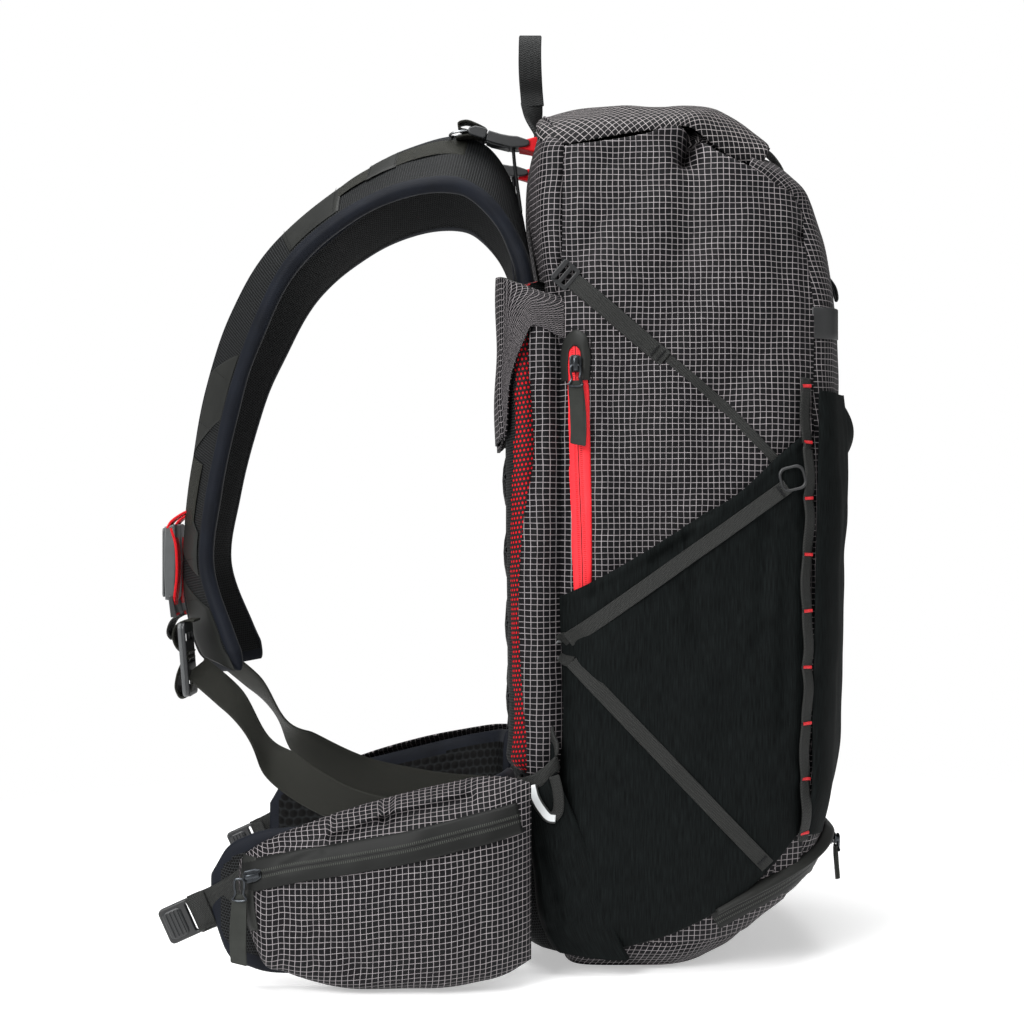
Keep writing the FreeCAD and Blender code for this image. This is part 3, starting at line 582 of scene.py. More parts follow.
def pocket_lift(y, z):
    """How far the side pocket's cloth stands off the sack."""
    u = np.clip((64 - y) / 188, 0, 1)
    v = np.clip((z - foot_line(y)) / (hem_line(y) - foot_line(y)), 0, 1)
    fill = np.sin(math.pi * np.clip(u * 0.92 + 0.08, 0, 1)) ** 0.7 * (1 - 0.75 * v**2 * np.clip(u * 1.6 - 0.4, 0, 1))
    lift = 2.2 + 10.5 * fill * np.clip(v / 0.12, 0, 1) ** 0.5 + 1.2 * np.clip(1 - np.abs(v - 0.985) / 0.02, 0, 1)
    lift = lift - folded(y, z, POCKET_FOLDS) + ripple(y, 3, z, 24, 0.6) + ripple(y, 3, z * 0.5, 9, 0.25)
    return np.maximum(lift, 1.4)


def on_pocket(y, z, lift=0.0):
    """Places on the near side pocket, over the smooth shape of the sack below it."""
    y, z = np.broadcast_arrays(np.asarray(y, float), np.asarray(z, float))
    below = np.maximum(filled_out(y, z), side_out(y, z))
    return np.stack([-(below + pocket_lift(y, z) + lift), y, z], axis=-1)


u, v = np.meshgrid(np.linspace(0, 1, 150), np.linspace(0, 1, 220))
y = 64 - 188 * u
z = foot_line(y) + (hem_line(y) - foot_line(y)) * v
rows = on_pocket(y, z)
behind = np.stack([rows[:, :1, 0] + 12, rows[:, :1, 1] + 1.5, rows[:, :1, 2]], axis=-1)
rows = np.concatenate([behind, rows], axis=1)
uv = np.stack([-rows[..., 1], rows[..., 2]], axis=-1) / 1000
fit_pair(cloth("side_pocket", rows, stretch, uv, thick=1.4), "root", "stretch_cloth", "side_pocket_left")

# The front pocket is one wide sheet with a loose upper edge that falls forward in the middle.
levels = [101, 140, 190, 240, 290, 340, 380, 410, 432]
middle = [
    (-153, 101), (-161, 140), (-164, 190), (-167, 240), (-169, 290), (-170, 340), (-170.5, 380), (-171, 405),
    (-169, 425), (-167, 436)
]
edge = [
    (-122, 104), (-126, 140), (-126, 190), (-127, 240), (-128, 290), (-129, 340), (-130, 380), (-131, 405),
    (-131, 425), (-132, 438)
]
half = [126, 136, 138, 139, 140, 140, 139, 138, 136, 134]
front_pocket = crowned(
    "front_pocket", middle, edge, half, stretch, square=1.85, uneven=2.0, count=140, across=121, thick=1.4,
    seed=17
)
fit(front_pocket, "root", "stretch_cloth", "front_pocket")

# The upper edge's loose fold.
count = 60
t = np.linspace(-1, 1, count)[None, :]
s = np.linspace(0, 1, 30)[:, None]
fall = (1 - t**2) ** 0.8
y = -161 - 14 * np.sin(math.pi * s) * fall - 4 * fall + 30 * np.abs(t) ** 2
z = 437 - 58 * s * (0.55 + 0.45 * fall) + 3 * np.cos(3 * t)
x = 118 * t + 0 * s
rows = places(x, y + ripple(x, 5, z, 30, 1.2), z)
fit(cloth("front_pocket_fold", rows, stretch, thick=1.4), "root", "stretch_cloth")

# ------------------------------------------------------------------ webbing
# Black nylon tape, woven as a plain herringbone. Its raised threads are painted in a lighter colour, as small dots:
# a painted highlight on the weave. The harness has a greyer elastic webbing, and a red one at its anchors.


def woven_tape(name, base, raised, pitch=0.0011, rough=0.55):
    material, tree, surface = new_material(name, Roughness=rough, Specular_IOR_Level=0.15)
    uv = add(tree, "UVMap", {"uv_map": "cloth"})
    split = add(tree, "SeparateXYZ", links={0: uv})
    zig = add(tree, "Math", {"operation": "PINGPONG", 1: pitch * 1.5}, {0: split.outputs[0]})
    slope = add(tree, "Math", {"operation": "ADD"}, {0: split.outputs[1], 1: zig})
    waves = []
    for source, step in ((slope, pitch), (split.outputs[0], pitch * 0.75)):
        turns = add(tree, "Math", {"operation": "MULTIPLY", 1: 2 * math.pi / step}, {0: source})
        waves.append(add(tree, "Math", {"operation": "SINE"}, {0: turns}))
    knit = add(tree, "Math", {"operation": "MULTIPLY"}, {0: waves[0], 1: waves[1]})
    # The lighter colour is put on the raised weave: a painted highlight on the threads' tops.
    shown = add(tree, "MapRange", {"From Min": -0.1, "From Max": 0.9}, {"Value": knit})
    add(
        tree, "Mix", {"data_type": "RGBA", 6: linear(base), 7: linear(raised)}, {0: shown},
        into=surface.inputs["Base Color"]
    )
    add(tree, "Bump", {"Strength": 0.5, "Distance": 0.0003}, {"Height": knit}, into=surface.inputs["Normal"])
    return material


# Each tape's second colour is the painted highlight on its raised threads.
black_webbing = woven_tape("nylon_webbing_woven", "#0a0b0b", "#484947")
grey_webbing = woven_tape("elastic_webbing_woven", "#171815", "#3d3d37", pitch=0.0009)
red_webbing = woven_tape("red_nylon_webbing_woven", "#b00d16", "#f0262e")

# Hardware moulded in glass-filled nylon and acetal: dark, with a slightly open grain, mottled, and paler along its
# convex edges.


def moulded_nylon(name, base, paler_tone, gloss=0.42):
    material, tree, surface = new_material(name, Roughness=gloss)
    place = add(tree, "TexCoord")
    cloud = add(tree, "TexNoise", {"Scale": 90.0, "Detail": 4.0}, {"Vector": place.outputs["Object"]})
    edge = add(tree, "NewGeometry")
    # Convex edges, found by pointiness, are mixed towards the paler tone, as is the mottle.
    convex_edges = add(tree, "MapRange", {"From Min": 0.52, "From Max": 0.64}, {"Value": edge.outputs["Pointiness"]})
    mottled = add(tree, "Math", {"operation": "MULTIPLY_ADD", 1: 0.25, "use_clamp": True}, {0: cloud, 2: convex_edges})
    add(
        tree, "Mix", {"data_type": "RGBA", 6: linear(base), 7: linear(paler_tone)}, {0: mottled},
        into=surface.inputs["Base Color"]
    )
    grain = add(tree, "TexNoise", {"Scale": 1400.0, "Detail": 1.0}, {"Vector": place.outputs["Object"]})
    add(tree, "Bump", {"Strength": 0.2, "Distance": 0.0001}, {"Height": grain}, into=surface.inputs["Normal"])
    return material


grey_nylon = moulded_nylon("glass_filled_nylon_moulded", "#2c2e2f", "#6a6c6d")
black_nylon = moulded_nylon("black_acetal_moulded", "#0d0e0f", "#303234")
# The cord's lighter colour is the painted highlight on its raised strands.
cord_black = woven_tape("elastic_cord_braided", "#0d0e0f", "#2c2d2e", pitch=0.0008)

# ------------------------------------------------------------------ side compression
# One tape each side. It is doubled from its adjuster at the back seam to a sewn end, runs down to a ring
# by the front corner, crosses the pocket to a hook behind, and runs forward again to the base.


def faced(line, across):
    """Which way a tape along a line faces, when across is its width's way."""
    return unit(np.cross(np.gradient(line, axis=0), across))


def webbing(name, line, outs, width, thick, material, bow=0.0):
    """A woven tape along a line, its flat face towards outs. bow crowns it across."""
    line = np.asarray(line, float)
    outs = np.broadcast_to(np.asarray(outs, float), line.shape)
    forward = unit(np.gradient(line, axis=0))
    across = unit(np.cross(forward, outs))
    up = np.cross(across, forward)
    half = np.broadcast_to(np.asarray(width, float) / 2, len(line))[:, None]
    spots = np.array([-1, -0.93, -0.5, 0, 0.5, 0.93, 1, 0.93, 0.5, 0, -0.5, -0.93])
    heights = np.array([0, 1, 1, 1, 1, 1, 0, -1, -1, -1, -1, -1]) * thick / 2 + bow * (1 - spots**2)
    rings = line[:, None] + across[:, None] * (half * spots)[..., None] + up[:, None] * heights[None, :, None]
    along = run_of(line)
    uv = np.stack(np.broadcast_arrays(half * spots, along[:, None]), axis=-1) / 1000
    return tube_of(name, rings, material, uv)


def bent_tape(name, points, across, width, thick, material, step=1.5):
    """A tape along a bent route. across is its width's way."""
    line = smooth_line(points, step)
    return webbing(name, line, faced(line, across), width, thick, material)


def rounded(width, height, corner, centre=(0, 0)):
    """The points of a rectangle with round corners."""
    points = []
    for k, (sx, sy) in enumerate([(1, 1), (-1, 1), (-1, -1), (1, -1)]):
        for a in np.linspace(0, math.pi / 2, 5) + k * math.pi / 2:
            x = centre[0] + sx * (width / 2 - corner) + corner * math.cos(a)
            points.append((x, centre[1] + sy * (height / 2 - corner) + corner * math.sin(a)))
    return points


def moulded(name, outlines, thick, place, along, out, material, edge=0.7, shape=None):
    """A moulded plate: its rim's outline, then its holes', with softened edges. shape bends its points."""
    curve = bpy.data.curves.new(name, "CURVE")
    curve.dimensions = "2D"
    curve.fill_mode = "BOTH"
    for outline in outlines:
        spline = curve.splines.new("POLY")
        spline.points.add(len(outline) - 1)
        for control, (a, b) in zip(spline.points, outline):
            control.co = (a / 1000, b / 1000, 0, 1)
        spline.use_cyclic_u = True
    curve.extrude = max(thick / 2 - edge, 0.01) / 1000
    curve.bevel_depth = edge / 1000
    curve.bevel_resolution = 2
    curve.offset = -edge / 1000
    holder = bpy.data.objects.new(name + "_outline", curve)
    scene.collection.objects.link(holder)
    bpy.context.view_layer.update()
    mesh = bpy.data.meshes.new_from_object(holder.evaluated_get(bpy.context.evaluated_depsgraph_get()))
    bpy.data.objects.remove(holder)
    points = np.zeros(len(mesh.vertices) * 3)
    mesh.vertices.foreach_get("co", points)
    points = points.reshape(-1, 3) * 1000
    if shape:
        points = shape(points)
    u = unit(along)
    n = unit(np.asarray(out, float) - u * np.dot(u, out))
    placed = np.asarray(place, float) + points @ np.stack([u, np.cross(n, u), n])
    mesh.vertices.foreach_set("co", (placed / 1000).ravel())
    mesh.materials.append(material)
    for polygon in mesh.polygons:
        polygon.use_smooth = True
    mesh.set_sharp_from_angle(angle=math.radians(35))
    mesh.update()
    piece = bpy.data.objects.new(name, mesh)
    scene.collection.objects.link(piece)
    return piece


def mouldings(along, out, material, *plates):
    """Plates moulded the same way round. Each has its outlines, thickness, place and edge."""
    return [moulded("plate", rims, thick, place, along, out, material, edge) for rims, thick, place, edge in plates]


def joined(name, parts):
    """Several mesh pieces as one, keeping their materials."""
    points, faces, uvs, which, materials = [], [], [], [], []
    for part in parts:
        mesh = part.data
        start = len(points)
        points += [tuple(v.co * 1000) for v in mesh.vertices]
        layer = mesh.uv_layers.get("cloth")
        spots = np.zeros((len(mesh.vertices), 2))
        if layer:
            for corner in mesh.loops:
                spots[corner.vertex_index] = layer.data[corner.index].uv
        uvs += spots.tolist()
        for polygon in mesh.polygons:
            faces.append([start + i for i in polygon.vertices])
            material = mesh.materials[polygon.material_index]
            if material not in materials:
                materials.append(material)
            which.append(materials.index(material))
        bpy.data.objects.remove(part)
    piece = piece_from(name, points, faces, materials, uvs, which=which)
    piece.data.set_sharp_from_angle(angle=math.radians(40))
    return piece


def laid_on(surface, points, lift):
    """A straight tape's line between (y, z) places, laid on a surface."""
    runs = [np.linspace(a, b, max(2, int(math.dist(a, b) / 3)))[:-1] for a, b in zip(points, points[1:])]
    flat = np.concatenate(runs + [[points[-1]]])
    line = surface(flat[:, 0], flat[:, 1], lift)
    line[:, 0] = np.minimum(line[:, 0], np.convolve(np.pad(line[:, 0], 3, "edge"), np.ones(7) / 7, "valid"))
    return line


upper = laid_on(on_side, [(54, 521), (-6, 469), (-60, 423), (-103, 377)], 1.0)
crossing = laid_on(on_pocket, [(-106, 366), (56, 252)], 1.2)
lower = laid_on(on_pocket, [(53, 236), (-14, 166), (-92, 84)], 1.2)
out = (-1, 0, 0)
tapes = [
    webbing("tape", upper, out, 11.5, 1.5, black_webbing),
    webbing("tape", upper[: len(upper) * 45 // 100] + np.array([-1.7, 0, 0]), out, 13.5, 1.5, black_webbing),
    webbing("tape", crossing, out, 11.5, 1.5, black_webbing),
    webbing("tape", lower, out, 11.5, 1.5, black_webbing),
]
turn = on_pocket(np.array([56, 61, 62, 58, 52]), np.array([252, 249, 243, 238, 236]), 0.6)
tapes.append(webbing("tape", smooth_line(turn, 1.5), out, 11.5, 1.5, black_webbing))
fit_pair(joined("compression_tape", tapes), "root", "webbing", "compression_straps")

# Bartacks are packed satin stitches, so their thread has a grain across the bar, painted bright on its ridges and
# dark between them as painted highlight and painted shade.
red_thread, tree, surface = new_material("red_bartack_thread_sewn", Roughness=0.5)
place = add(tree, "UVMap", {"uv_map": "cloth"})
strands = add(tree, "TexWave", {"Scale": 420.0, "Distortion": 1.5, "bands_direction": "Y"}, {"Vector": place})
# Bright on the raised strands and dark in the grooves between them: painted highlight and painted shade.
add(
    tree, "Mix", {"data_type": "RGBA", 6: linear("#8f0a12"), 7: linear("#f5222c")}, {0: strands},
    into=surface.inputs["Base Color"]
)
add(tree, "Bump", {"Strength": 0.6, "Distance": 0.0004}, {"Height": strands}, into=surface.inputs["Normal"])
# The thread's lighter colour is the painted highlight on its raised strands.
black_thread = woven_tape("bonded_thread_black", "#08090a", "#2b2c2d", pitch=0.0006)


def stitches(name, line, outs, pitch=3.0, long=2.1, wide=0.55, proud=0.25):
    """A row of short stitches along a line on a surface."""
    line = np.asarray(line, float)
    along = run_of(line)
    stops = np.arange(pitch / 2, along[-1], pitch)
    spots = np.stack([np.interp(stops, along, c) for c in line.T], axis=1)
    ahead = np.stack([np.interp(stops + 0.5, along, c) for c in line.T], axis=1)
    outs = np.broadcast_to(np.asarray(outs, float), line.shape)
    up = unit(np.stack([np.interp(stops, along, c) for c in outs.T], axis=1))
    forward = unit(ahead - spots + 1e-6)
    across = np.cross(up, forward)
    ring = [(-1, 0, -0.4), (-0.6, 1, 0.7), (0.6, 1, 0.7), (1, 0, -0.4), (0.6, -1, 0.7), (-0.6, -1, 0.7), (0, 0, 1.1)]
    points, faces = [], []
    for a, b, c in ring:
        points.append(spots + forward * a * long / 2 + across * b * wide / 2 + up * c * proud)
    points = np.stack(points, axis=1).reshape(-1, 3)
    for first in range(0, 7 * len(spots), 7):
        faces += [(first + k, first + (k + 1) % 6, first + 6) for k in range(6)]
    return piece_from(name, points, faces, black_thread, points[:, 1:] / 1000)


def bartack(name, middle, along, out, long, wide, material, thick=0.9):
    """A short dense bar of thread."""
    along, out = unit(along), unit(out)
    line = np.asarray(middle, float) + np.linspace(-long / 2, long / 2, 9)[:, None] * along
    line = line + out * (0.25 * np.sin(np.linspace(0, 22, 9)))[:, None]
    return webbing(name, line, out, wide, thick, material, bow=0.25)


# The adjuster is a ladder lock. The ring is a bent wire with the tape through it, and the hook behind is too.
lock_place = on_side(58, 524)[()] + np.array([-3.4, 0, 0])
ring_place = on_pocket(-110, 372)[()] + np.array([-3, 0, 0])
hook_place = on_pocket(61, 243)[()] + np.array([-2.5, 0, 0])
lock_rims = [rounded(15, 19, 2)] + [rounded(3, 13, 0.8, (slot, 0)) for slot in (-3.6, 2.8)]
lip = ([rounded(4, 17, 1.5)], 5, lock_place + np.array([-1, 4.5, 4.2]), 0.7)
lock = mouldings((0, -0.76, -0.65), out, black_nylon, (lock_rims, 3.4, lock_place, 0.7), lip)
ring_rims = [rounded(19, 20, 6), rounded(14.5, 15.5, 4.5)]
lock += mouldings((0, 0.25, 1), out, black_nylon, (ring_rims, 2.4, ring_place, 1.1))
hook_rims = [rounded(12, 15, 4), rounded(8.5, 11, 3)]
lock += mouldings((0, 1, 0.3), out, grey_nylon, (hook_rims, 2.0, hook_place, 0.95))
fit_pair(joined("compression_hardware", lock), "root", "dark_plastic", "compression_hardware")

end_place = upper[len(upper) * 45 // 100 - 2] + np.array([-2.6, 0, 0])
tape_way = upper[20] - upper[10]
across = np.cross(tape_way, out)
sewn = [bartack("tack", end_place - unit(tape_way) * k, across, out, 10, 1.2, black_thread, 0.6) for k in (1, 7)]
for place, way in ((crossing[2], crossing[9] - crossing[2]), (lower[-3], lower[-1] - lower[-9])):
    sewn.append(bartack("tack", place + np.array([-1, 0, 0]), np.cross(way, out), out, 9, 2.0, black_thread))
fit_pair(joined("compression_tacks", sewn), "root", "webbing")

# ------------------------------------------------------------------ daisy chains
# A narrow tape down each front corner, held by red bartacks, with a soft loop standing off between them.
tack_z = np.linspace(106, 441, 9)
tack_y = flow([(106, -121), (160, -121), (240, -121), (330, -122), (400, -122), (441, -121)])


def beside_corner(z, lift):
    y = tack_y(z)
    base = np.minimum(on_pocket(y + 3, z)[..., 0], on_side(y + 3, z)[..., 0])
    return np.stack([np.where(z > 395, on_side(y + 3, z)[..., 0] - 2, base) - lift, y, z], axis=-1)


z = np.linspace(100, 447, 280)
gap = np.interp(z, tack_z, np.arange(9))
loops = np.abs(np.sin(math.pi * np.clip(gap, 0, 8)))
line = beside_corner(z, 1.0 + 3.2 * loops**0.7)
line[:, 1] -= 2.0 * loops * np.cos(gap * 2.1)
facing = unit(np.stack([-np.ones_like(z), -0.75 + 0 * z, 0 * z], axis=1))
chain = webbing("daisy_chain", line, facing, 10, 1.4, black_webbing)
fit_pair(chain, "root", "webbing", "daisy_chains")
tacks = []
for i, place in enumerate(beside_corner(tack_z, 1.0)):
    slant = (0.6, -0.8, 0.05 * (-1) ** i)
    tacks.append(bartack("tack", place + facing[0] * 0.9, slant, facing[0], 8.5, 2.4, red_thread, 1.2))
fit_pair(joined("daisy_chain_tacks", tacks), "root", "red_webbing")

# ------------------------------------------------------------------ padded back
# Foam under two knitted meshes: black over the wearer's back, and red where it turns round each side. A
# channel runs down the middle, and the lumbar pad below is firmer and covered in the same black mesh.


def open_mesh(name, strand, lit, hole, wide, tall, fill=0.36, gloss=0.6, depth=0.0006):
    """A knitted mesh: staggered oval holes between crossing strands."""
    material, tree, surface = new_material(name, Roughness=gloss, Specular_IOR_Level=0.12)
    uv = add(tree, "UVMap", {"uv_map": "cloth"})
    split = add(tree, "SeparateXYZ", links={0: uv})
    row = add(tree, "Math", {"operation": "DIVIDE", 1: tall}, {0: split.outputs[1]})
    number = add(tree, "Math", {"operation": "FLOOR"}, {0: row})
    column = add(tree, "Math", {"operation": "DIVIDE", 1: wide}, {0: split.outputs[0]})
    stagger = add(tree, "Math", {"operation": "MULTIPLY_ADD", 1: 0.5}, {0: number, 2: column})
    parts = []
    for source in (stagger, row):
        share = add(tree, "Math", {"operation": "FRACT"}, {0: source})
        parts.append(add(tree, "Math", {"operation": "SUBTRACT", 1: 0.5}, {0: share}))
    spot = add(tree, "CombineXYZ", links={0: parts[0], 1: parts[1]})
    away = add(tree, "VectorMath", {"operation": "LENGTH"}, {0: spot}).outputs["Value"]
    open_share = add(
        tree, "MapRange", {"interpolation_type": "SMOOTHSTEP", "From Min": fill + 0.09, "From Max": fill - 0.09},
        {"Value": away}
    )
    sheen = add(tree, "MapRange", {"From Min": fill, "From Max": 0.62}, {"Value": away})
    thread = add(tree, "Mix", {"data_type": "RGBA", 6: linear(strand), 7: linear(lit)}, {0: sheen})
    add(
        tree, "Mix", {"data_type": "RGBA", 7: linear(hole)}, {0: open_share, 6: thread},
        into=surface.inputs["Base Color"]
    )
    add(tree, "Bump", {"Strength": 0.8, "Distance": depth}, {"Height": away}, into=surface.inputs["Normal"])
    return material


black_mesh = open_mesh("black_spacer_mesh_knitted", "#0c0d0e", "#2f3132", "#020202", 0.0019, 0.0021)
red_mesh = open_mesh("red_backed_mesh_knitted", "#120405", "#232324", "#c3141f", 0.0030, 0.0036, fill=0.27)
dark_mesh = open_mesh("dark_spacer_mesh_knitted", "#060708", "#222425", "#010101", 0.0023, 0.0021)

pad_half = [
    (-112, 64), (-120, 76), (-123, 87), (-119, 95), (-110, 100), (-96, 102), (-70, 99), (-38, 93), (-20, 88),
    (0, 86)
]
plan = smooth_line(pad_half + [(-x, y) for x, y in pad_half[-2::-1]], count=161)


def padded_back(name, plan, z, ends, material_at):
    """Foam across the back between two levels. It thins to nothing over its ends."""
    z = np.asarray(z, float)[:, None]
    ease = np.clip(np.minimum((z - z[0, 0]) / ends, (z[-1, 0] - z) / ends), 0, 1)
    full = np.sqrt(np.clip(1 - (1 - ease) ** 2, 0, 1))
    base = 64.0
    y = base + (plan[None, :, 1] - base) * (0.35 + 0.65 * full) + (back_y(z) - 66) * 0.75
    x = plan[None, :, 0] * (0.985 + 0.015 * full)
    rows = places(x, y + ripple(x, y, z, 36, 0.8), z)
    piece = cloth(name, rows, [black_mesh, red_mesh], thick=0)
    which = [material_at(rows[i, j, 0], rows[i, j, 2]) for i in range(len(z) - 1) for j in range(rows.shape[1] - 1)]
    piece.data.polygons.foreach_set("material_index", which)
    piece.data.flip_normals()
    return piece


red_from = flow([(140, 117), (200, 116), (280, 113), (330, 115), (380, 119), (440, 121), (490, 122)])
back_pad = padded_back("back_pad_cover", plan, np.linspace(148, 521, 190), 14, lambda x, z: int(abs(x) > red_from(z)))
fit(back_pad, "root", "spacer_mesh", "back_pad", "back_mesh")
lumbar_half = [(-116, 60), (-116, 72), (-112, 82), (-102, 90), (-84, 94), (-50, 95), (0, 94)]
lumbar_plan = smooth_line(lumbar_half + [(-x, y) for x, y in lumbar_half[-2::-1]], count=121)
lumbar = padded_back("lumbar_pad_cover", lumbar_plan, np.linspace(14, 152, 90), 16, lambda x, z: 0)
fit(lumbar, "root", "spacer_mesh", "lumbar_pad")

# Raised ribs of mesh over the back pad, either side of the channel.
ribs = []
for middle_z in (478, 424, 368, 312, 256, 200):
    y0 = float(back_y(middle_z) - 66) * 0.75
    line = smooth_line(
        [
            (-98, 101 + y0, middle_z + 6), (-70, 101 + y0, middle_z + 2), (-34, 95 + y0, middle_z),
            (-20, 89.5 + y0, middle_z)
        ],
        step=3
    )
    breadth = np.interp(np.linspace(0, 1, len(line)), [0, 0.08, 0.5, 0.92, 1], [6, 34, 40, 34, 8])
    ribs.append(webbing("rib", line, (0, 1, 0), breadth, 1.2, black_mesh, bow=2.4))
fit_pair(joined("back_pad_rib", ribs), "root", "spacer_mesh")

# The stiffener sheet and the two stays inside, behind the lining.


def clouded(name, dark, light, scale, detail=4.0, grain=None, **surface_values):
    """A hard or coated finish, clouded between two tones. grain is its scale, detail, strength and depth."""
    material, tree, surface = new_material(name, **surface_values)
    place = add(tree, "TexCoord")
    cloud = add(tree, "TexNoise", {"Scale": scale, "Detail": detail}, {"Vector": place.outputs["Object"]})
    tones = {"data_type": "RGBA", 6: linear(dark), 7: linear(light)}
    add(tree, "Mix", tones, {0: cloud}, into=surface.inputs["Base Color"])
    if grain:
        scale, detail, strength, depth = grain
        specks = add(tree, "TexNoise", {"Scale": scale, "Detail": detail}, {"Vector": place.outputs["Object"]})
        raised = {"Strength": strength, "Distance": depth}
        add(tree, "Bump", raised, {"Height": specks}, into=surface.inputs["Normal"])
    return material


# Pressed polyethylene is dull and evenly grey. The stays are flat bar, brushed along their length.
sheet_plastic = clouded("polyethylene_sheet_pressed", "#26282a", "#34373a", 60.0, Roughness=0.5)
stay_metal, tree, surface = new_material("aluminium_stay_brushed", Metallic=1.0, Roughness=0.34)
place = add(tree, "TexCoord")
brushed = add(tree, "Mapping", {"Scale": (900, 900, 30)}, {"Vector": place.outputs["Object"]})
lines = add(tree, "TexNoise", {"Scale": 1.0, "Detail": 2.0}, {"Vector": brushed})
add(
    tree, "Mix", {"data_type": "RGBA", 6: linear("#8d9092"), 7: linear("#c4c7c9")}, {0: lines},
    into=surface.inputs["Base Color"]
)
for node, material in (("frame_sheet", sheet_plastic), ("frame_stays", stay_metal)):
    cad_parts[node].data.materials.clear()
    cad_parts[node].data.materials.append(material)

# ------------------------------------------------------------------ harness sleeves
# Ripstop sleeves that take the shoulder straps. Below their openings each is cut back to a strip along the
# bag's side, and the red mesh shows in the gap.
strip_edge = flow(
    [(176, 86), (194, 87.7), (223, 90), (280, 92), (342, 88), (390, 80.5), (428, 82), (475, 84.5), (490, 83)]
)
z = np.linspace(150, 492, 150)[:, None]
u = np.linspace(0, 1, 26)[None, :]
y = 61 + (strip_edge(z) - 61) * u
x = -(123 + 12 * np.sin(math.pi * np.clip(u * 1.25, 0, 1) * 0.5) - 9 * u**3)
rows = places(x + ripple(x, y, z, 24, 1.0), y, z)
uv = np.stack([-rows[..., 1], rows[..., 2]], axis=-1) / 1000
strip = cloth("sleeve_strip", rows, ripstop, uv, thick=1.6, turned=True)
strip.data.flip_normals()
fit_pair(strip, "root", "ripstop", "harness_sleeves")

sleeve_plan = [
    (-132, 58), (-132.5, 72), (-130, 86), (-124, 97), (-112, 104), (-94, 107), (-72, 107), (-54, 103), (-45, 92),
    (-44, 80)
]
plan = smooth_line(sleeve_plan, count=90)
share = np.linspace(0, 1, 90)
low_line = [
    (0, 476), (0.14, 486), (0.172, 487), (0.22, 474), (0.27, 457), (0.3, 442), (0.335, 412), (0.4, 403),
    (0.5, 400)
]
low_z = flow(low_line + [(0.75, 402), (0.9, 420), (1, 440)])(share)
high_z = flow([(0, 508), (0.1, 511), (0.25, 519), (0.36, 524), (0.6, 527), (0.85, 525), (1, 521)])(share)
v = np.linspace(0, 1, 60)[:, None]
z = low_z + (high_z - low_z) * v
swell = 2.2 * np.sin(math.pi * np.clip(share * 1.1, 0, 1)) * np.sin(math.pi * (0.15 + 0.7 * v))
rows = places(plan[:, 0] - swell * 0.4, plan[:, 1] + swell + ripple(plan[:, 0], plan[:, 1], z, 30, 1.0), z)
sleeve = cloth("harness_sleeve", rows, ripstop, thick=1.8)
fit_pair(sleeve, "root", "ripstop")
hem = webbing(
    "sleeve_hem", np.stack([plan[:, 0], plan[:, 1] + 1.2, high_z - 1.5], axis=1),
    np.stack([plan[:, 0] * 0 - 0.3, plan[:, 0] * 0 + 1, plan[:, 0] * 0], axis=1), 4, 2.0, black_webbing, bow=0.5
)
fit_pair(hem, "root", "webbing")

# ------------------------------------------------------------------ shoulder straps
# Contoured foam: ribbed mesh outside, darker mesh against the chest, and a broad navy-black binding with a
# row of stitches beside it. The edge places are those of the frame's straps.
STRAP_EDGES = [
    ((-50, 78, 452), (-104, 78, 452)), ((-50, 81, 520), (-104, 80, 520)), ((-50, 90, 592), (-104, 92, 556)),
    ((-50, 110, 634), (-104, 118, 588)), ((-50, 140, 648), (-104, 148, 600)), ((-50, 185, 637), (-103, 190, 594)),
    ((-48, 232, 610), (-101, 232, 574)), ((-44, 290, 562), (-95, 273, 538)), ((-38, 325, 508), (-84, 302, 482)),
    ((-28, 347, 448), (-70, 321, 430)), ((-16, 362, 375), (-60, 338, 362)), ((-10, 369, 300), (-54, 345, 305)),
    ((-22, 360, 248), (-62, 326, 252)), ((-38, 342, 218), (-68, 312, 222)),
]
neck_edge, arm_edge = (np.array(edge, float) for edge in zip(*STRAP_EDGES))
neck_flow, arm_flow = ([flow(zip(range(14), column)) for column in edge.T] for edge in (neck_edge, arm_edge))
STRAP_THICK = 14.0


def strap_frame(s):
    """The strap's middle, its way across, its way out and its half width at stations along it."""
    s = np.asarray(s, float)
    sides = []
    for lines in (neck_flow, arm_flow):
        sides.append(np.stack([line(s) for line in lines], axis=-1))
    ahead = np.stack(
        [(a(s + 0.1) + b(s + 0.1) - a(s - 0.1) - b(s - 0.1)) for a, b in zip(neck_flow, arm_flow)], axis=-1
    )
    across = sides[1] - sides[0]
    out = unit(np.cross(ahead, across))
    return (sides[0] + sides[1]) / 2, unit(across), out, np.linalg.norm(across, axis=-1, keepdims=True) / 2


def on_strap(s, share, lift=0.0):
    """Places on the strap's outer face. share is 0 at the neck's edge and 1 at the arm's."""
    s, share, lift = np.broadcast_arrays(np.asarray(s, float), share, lift)
    middle, across, out, half = strap_frame(s)
    a = share[..., None] * 2 - 1
    top = STRAP_THICK / 2 * (np.clip(1 - np.abs(a) ** 4, 0, 1) ** 0.5 - 1)
    return middle + across * half * a + out * (top + lift[..., None])


